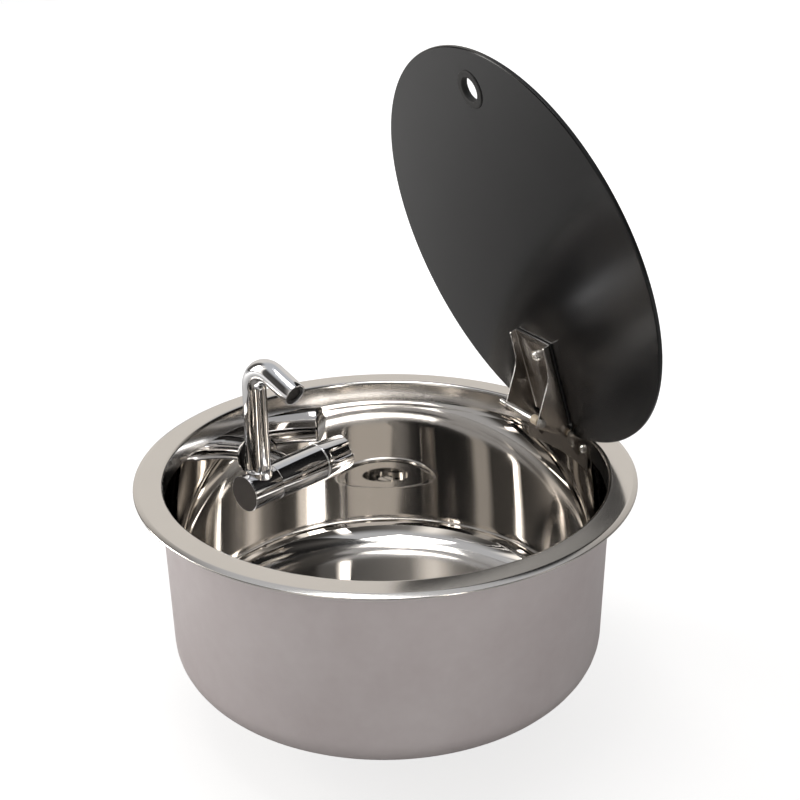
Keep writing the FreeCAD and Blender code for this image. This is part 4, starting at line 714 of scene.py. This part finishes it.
def build_rose():
    """Domed cover round the stem, against the bowl wall."""
    hole, outer, front, back = 10.8, 20.0, 46.0, 51.0
    bm = turned([(hole, front, 0), (outer, front, 4.2), (outer, back, 0.3), (hole, back, 0)], TAP_STEPS)
    moved(bm, ALONG_X)
    piece("wall_rose", bm, "sink", [CHROME], TAP, ["tap_rose"])


def build_trim():
    """Thin bright ring in the seam between the tap's barrel and its knob."""
    outer, front, roll = 18.75, VALVE_FACE - 0.8, 0.35
    bm = turned([
        (VALVE_BORE_R, front, 0), (outer, front, roll), (outer, VALVE_FACE, roll),
        (VALVE_BORE_R, VALVE_FACE, 0)], TAP_STEPS)
    moved(bm, ALONG_Y)
    piece("seam_ring", bm, "sink", [TRIM], TAP, ["tap_trim_ring"])


def build_spout_base():
    """Turning barrel of the spout with the collar that the tube stands in."""
    bore, start = 10.05, 29.3
    barrel = turned([
        (bore, start, 0), (BARREL_R, start, 0.4), (BARREL_R, SPOUT_END, 0.1),
        (bore, SPOUT_END, 0)], TAP_STEPS)
    moved(barrel, ALONG_Y)
    inner, outer, top = SPOUT_TUBE_R + 0.02, 12.5, 19.5
    collar = turned([
        (inner, SPOUT_TUBE_FOOT, 0), (outer, SPOUT_TUBE_FOOT - 1.2, 0), (outer, top, 0.7), (inner, top, 0.2)],
        TAP_STEPS)
    moved(collar, Matrix.Translation((0, SPOUT_TUBE_Y, 0)))
    piece("spout_foot", joined(barrel, collar), "spout", [CHROME], TAP, ["spout_base"])


def build_end_cap():
    """Flat cap that closes the spout's barrel, with a matt face."""
    plug_r, plug_start, face_end = 10.0, 57.5, 62.0
    bm = turned([
        (0, plug_start, 0), (plug_r, plug_start, 0), (plug_r, SPOUT_END, 0), (BARREL_R, SPOUT_END, 0.1),
        (BARREL_R, face_end, 0.35), (0, face_end, 0)], TAP_STEPS)
    for face in bm.faces:
        flat = face.normal.z > 0.99
        face.material_index = 1 if flat else 0
    moved(bm, ALONG_Y)
    piece("spout_cap", bm, "spout", [CHROME, END_CAP], TAP, ["spout_end_cap"])


def build_spout_tube():
    """Bent tube: a ring pulled up, spun round the bend, and pulled down the nozzle."""
    wall = 1.5
    height, bend, reach = 128.0, 20.0, 58.4
    droop = radians(21.9)
    turn = pi / 2 + droop
    leg = bend * tan(turn / 2)
    bm = bmesh.new()
    made = bmesh.ops.create_circle(bm, cap_ends=False, radius=SPOUT_TUBE_R, segments=72)
    ring = made["verts"]
    bmesh.ops.translate(bm, verts=ring, vec=(0, 0, SPOUT_TUBE_FOOT))
    edges = list({edge for vert in ring for edge in vert.link_edges})

    def pull(edges, offset, steps):
        for _ in range(steps):
            grown = bmesh.ops.extrude_edge_only(bm, edges=edges)["geom"]
            verts = [item for item in grown if isinstance(item, bmesh.types.BMVert)]
            bmesh.ops.translate(bm, verts=verts, vec=offset / steps)
            edges = [item for item in grown if isinstance(item, bmesh.types.BMEdge)
                     and all(vert in verts for vert in item.verts)]
        return edges

    edges = pull(edges, Vector((0, 0, height - leg - SPOUT_TUBE_FOOT)), 6)
    verts = list({vert for edge in edges for vert in edge.verts})
    spun = bmesh.ops.spin(bm, geom=verts + edges, axis=(0, 1, 0), cent=(-bend, 0, height - leg), steps=28,
                          angle=-turn, use_duplicate=False)
    edges = [item for item in spun["geom_last"] if isinstance(item, bmesh.types.BMEdge)]
    pull(edges, Vector((-cos(droop), 0, -sin(droop))) * (reach - leg), 4)
    bmesh.ops.recalc_face_normals(bm, faces=bm.faces)
    bmesh.ops.solidify(bm, geom=bm.faces[:], thickness=wall)
    moved(bm, Matrix.Translation((0, SPOUT_TUBE_Y, 0)))
    soften(bm, 0.35, radians(60))
    piece("spout_pipe", bm, "spout", [CHROME], TAP, ["spout_tube"])


def build_knob():
    """Tapered knob with a finger scoop that runs out at its end."""
    start, end = -26.6, -60.5
    scoop_half, scoop_edge, scoop_depth, run_out = 6.5, 2.2, 3.0, 4.0
    bm = turned([
        (0, start, 0), (4.02, start, 0), (18.6, start, 0.4), (17.0, end, 2.0), (0, end, 0)], TAP_STEPS)
    rings = 14
    for index in range(1, rings):
        level = end + (start - end) * index / rings
        geometry = bm.verts[:] + bm.edges[:] + bm.faces[:]
        bmesh.ops.bisect_plane(bm, geom=geometry, dist=WELD, plane_co=(0, 0, level), plane_no=(0, 0, 1))
    moved(bm, ALONG_Y)
    lean = radians(31)
    outward = Vector((-cos(lean), 0, sin(lean)))
    across = Vector((sin(lean), 0, cos(lean)))
    for vert in bm.verts:
        side = vert.co.dot(across)
        out = vert.co.dot(outward)
        along = (start - run_out) - vert.co.y
        if out < 8 or abs(side) > scoop_half or along < 0:
            continue
        dip = min(1.0, (scoop_half - abs(side)) / scoop_edge) * min(1.0, along / run_out)
        vert.co -= outward * (scoop_depth * dip * dip * (3 - 2 * dip))
    piece("valve_knob", bm, "knob", [CHROME], TAP, ["tap_knob"], sharp=30)


# ---------------------------------------------------------------- studio
def build_camera():
    """Camera of the photograph, found from the rim's ellipse, the bowl and the lid."""
    distance, elevation, roll = 1100.0, radians(25.887), radians(-0.894)
    focal, centre_u, centre_v = 1302.6, 385.48, 464.84
    hinge_turn = radians(60.93)
    half = 400.0
    eye = Vector((0, -distance * cos(elevation), distance * sin(elevation)))
    forward = -eye.normalized()
    right = Vector((1, 0, 0))
    down = forward.cross(right)
    level = Matrix((right, down, forward))
    side = atan2(centre_u - half, focal)
    tip = atan2((centre_v - half) * cos(side), focal)
    spin_roll = Matrix(((cos(roll), -sin(roll), 0), (sin(roll), cos(roll), 0), (0, 0, 1)))
    spin_side = Matrix(((cos(side), 0, sin(side)), (0, 1, 0), (-sin(side), 0, cos(side))))
    spin_tip = Matrix(((1, 0, 0), (0, cos(tip), sin(tip)), (0, -sin(tip), cos(tip))))
    rows = spin_side @ spin_tip @ spin_roll @ level
    to_row = Matrix.Rotation(hinge_turn, 3, "Z")
    turn = to_row @ rows.transposed() @ Matrix.Diagonal((1, -1, -1))
    place = (to_row @ eye + Vector((0, 0, RIM_TOP))) * MM
    data = bpy.data.cameras.new("camera")
    data.sensor_width = 36.0
    data.lens = 36.0 * focal / (2 * half)
    data.clip_start = 0.01
    camera = bpy.data.objects.new("camera", data)
    put_in_scene(camera)
    camera.matrix_world = Matrix.Translation(place) @ turn.to_4x4()
    bpy.context.scene.camera = camera


def area_lamp(name, place, target, size, power, colour=(1, 1, 1)):
    """A rectangular lamp that looks at a point."""
    data = bpy.data.lights.new(name, "AREA")
    data.shape = "RECTANGLE"
    data.size, data.size_y = size
    data.energy = power
    data.color = colour
    lamp = bpy.data.objects.new(name, data)
    put_in_scene(lamp)
    lamp.location = place
    lamp.rotation_euler = (Vector(target) - Vector(place)).to_track_quat("-Z", "Y").to_euler()


FLOOR_BELOW = 0.001
FLOOR_HALF = 6.0
# distances from the middle where the floor's painted shade is full and where it has faded out
FLOOR_PAINTED_SHADE_TO, FLOOR_PAINTED_SHADE_GONE_FROM = 0.3, 1.6
FLOOR_GLOW = 0.75


def build_floor():
    """Floor just under the waste outlet: dim near the sink with painted shade, and lit up for the camera but
    for the shadow.
    """
    lowest = cad_box[0][2] - FLOOR_BELOW
    bm = bmesh.new()
    bmesh.ops.create_grid(bm, x_segments=1, y_segments=1, size=FLOOR_HALF)
    bmesh.ops.translate(bm, verts=bm.verts, vec=(0, 0, lowest))
    mesh = bpy.data.meshes.new("floor")
    bm.to_mesh(mesh)
    bm.free()
    material, tree, shader = new_material("pale_floor_painted_shade", (0.82, 0.82, 0.82), 0.0, 0.9)
    path = tree.nodes.new("ShaderNodeLightPath")
    glow = math_node(tree, "MULTIPLY", path.outputs["Is Camera Ray"], FLOOR_GLOW)
    tree.links.new(glow, shader.inputs["Emission Strength"])
    reach = tree.nodes.new("ShaderNodeVectorMath")
    reach.operation = "LENGTH"
    tree.links.new(object_place(tree), reach.inputs[0])
    # painted shade: the floor's colour is dim near the sink and pale further off
    away = smooth_range(tree, reach.outputs["Value"], FLOOR_PAINTED_SHADE_TO, FLOOR_PAINTED_SHADE_GONE_FROM)
    colour = blend_colours(tree, away, (0.34, 0.335, 0.33), (0.86, 0.86, 0.86))
    tree.links.new(colour, shader.inputs["Base Color"])
    shader.inputs["Emission Color"].default_value = (1, 1, 1, 1)
    mesh.materials.append(material)
    floor = bpy.data.objects.new("floor", mesh)
    put_in_scene(floor)


# brightness of the studio round the object: share of a full turn from -x, and level
STUDIO_PEAK = 2.2
STUDIO_BANDS = (
    (0.00, 0.72), (0.02, 0.68), (0.05, 0.10), (0.105, 0.08), (0.115, 1.30), (0.135, 1.25), (0.142, 0.35),
    (0.150, 0.40), (0.155, 1.40), (0.175, 1.35), (0.19, 0.10), (0.235, 0.05), (0.26, 0.12), (0.30, 0.30),
    (0.335, 1.10), (0.350, 1.00), (0.38, 0.22), (0.44, 0.10), (0.484, 0.06), (0.490, 1.7), (0.501, 1.7),
    (0.508, 0.08), (0.59, 0.06), (0.61, 0.50), (0.64, 0.50), (0.66, 0.08), (0.72, 0.06), (0.78, 0.30),
    (0.82, 0.60), (0.85, 0.72), (1.00, 0.72))
BAND_TINT = (1.0, 0.955, 0.90)
OVERHEAD = (0.52, 0.53, 0.55)
OVERHEAD_FROM, OVERHEAD_FULL = 0.80, 0.93


def build_world():
    """White to the camera; pale and dark panels round the object for everything else."""
    world = bpy.data.worlds.new("studio")
    bpy.context.scene.world = world
    world.use_nodes = True
    tree = world.node_tree
    tree.nodes.clear()
    out = tree.nodes.new("ShaderNodeOutputWorld")
    sky = tree.nodes.new("ShaderNodeBackground")
    white = tree.nodes.new("ShaderNodeBackground")
    mix = tree.nodes.new("ShaderNodeMixShader")
    path = tree.nodes.new("ShaderNodeLightPath")
    coordinates = tree.nodes.new("ShaderNodeTexCoord")
    split = tree.nodes.new("ShaderNodeSeparateXYZ")
    tree.links.new(coordinates.outputs["Generated"], split.inputs[0])
    angle = math_node(tree, "ARCTAN2", split.outputs[1], split.outputs[0])
    share = weighted(tree, angle, 1 / (2 * pi), 0.5)
    bands = tree.nodes.new("ShaderNodeValToRGB")
    tree.links.new(share, bands.inputs[0])
    ramp = bands.color_ramp
    for index, (position, level) in enumerate(STUDIO_BANDS):
        stop = ramp.elements[index] if index < 2 else ramp.elements.new(position)
        stop.position = position
        stop.color = (*(level / STUDIO_PEAK * part for part in BAND_TINT), 1)
    lift = weighted(tree, split.outputs[2], 0.5, 0.5)
    overhead = smooth_range(tree, lift, OVERHEAD_FROM, OVERHEAD_FULL)
    blend = tree.nodes.new("ShaderNodeMix")
    blend.data_type = "RGBA"
    tree.links.new(overhead, blend.inputs["Factor"])
    tree.links.new(bands.outputs[0], blend.inputs["A"])
    blend.inputs["B"].default_value = (*(level / STUDIO_PEAK for level in OVERHEAD), 1)
    tree.links.new(blend.outputs["Result"], sky.inputs["Color"])
    sky.inputs["Strength"].default_value = STUDIO_PEAK
    white.inputs["Color"].default_value = (1, 1, 1, 1)
    tree.links.new(path.outputs["Is Camera Ray"], mix.inputs["Fac"])
    tree.links.new(sky.outputs[0], mix.inputs[1])
    tree.links.new(white.outputs[0], mix.inputs[2])
    tree.links.new(mix.outputs[0], out.inputs["Surface"])


def build_lamps():
    """Soft light from above, a broad one at the left and a narrow one at the right."""
    area_lamp("overhead", (0.1, -0.3, 1.9), (0, 0, 0), (0.9, 0.9), 13)
    area_lamp("left_window", (-1.5, -1.6, 0.7), (0, 0, -0.08), (0.7, 1.4), 22, (1.0, 0.98, 0.95))
    area_lamp("right_strip", (2.0, -0.06, 0.95), (0, 0, -0.05), (0.2, 1.3), 4, (1.0, 0.97, 0.93))


finish_nodes()
build_bowl()
build_rim()
build_glass()
build_grommet()
build_bracket()
build_cross_tube()
build_tap_body()
build_rose()
build_trim()
build_spout_base()
build_end_cap()
build_spout_tube()
build_knob()
build_camera()
build_floor()
build_world()
build_lamps()

bpy.context.scene.view_settings.view_transform = "Standard"
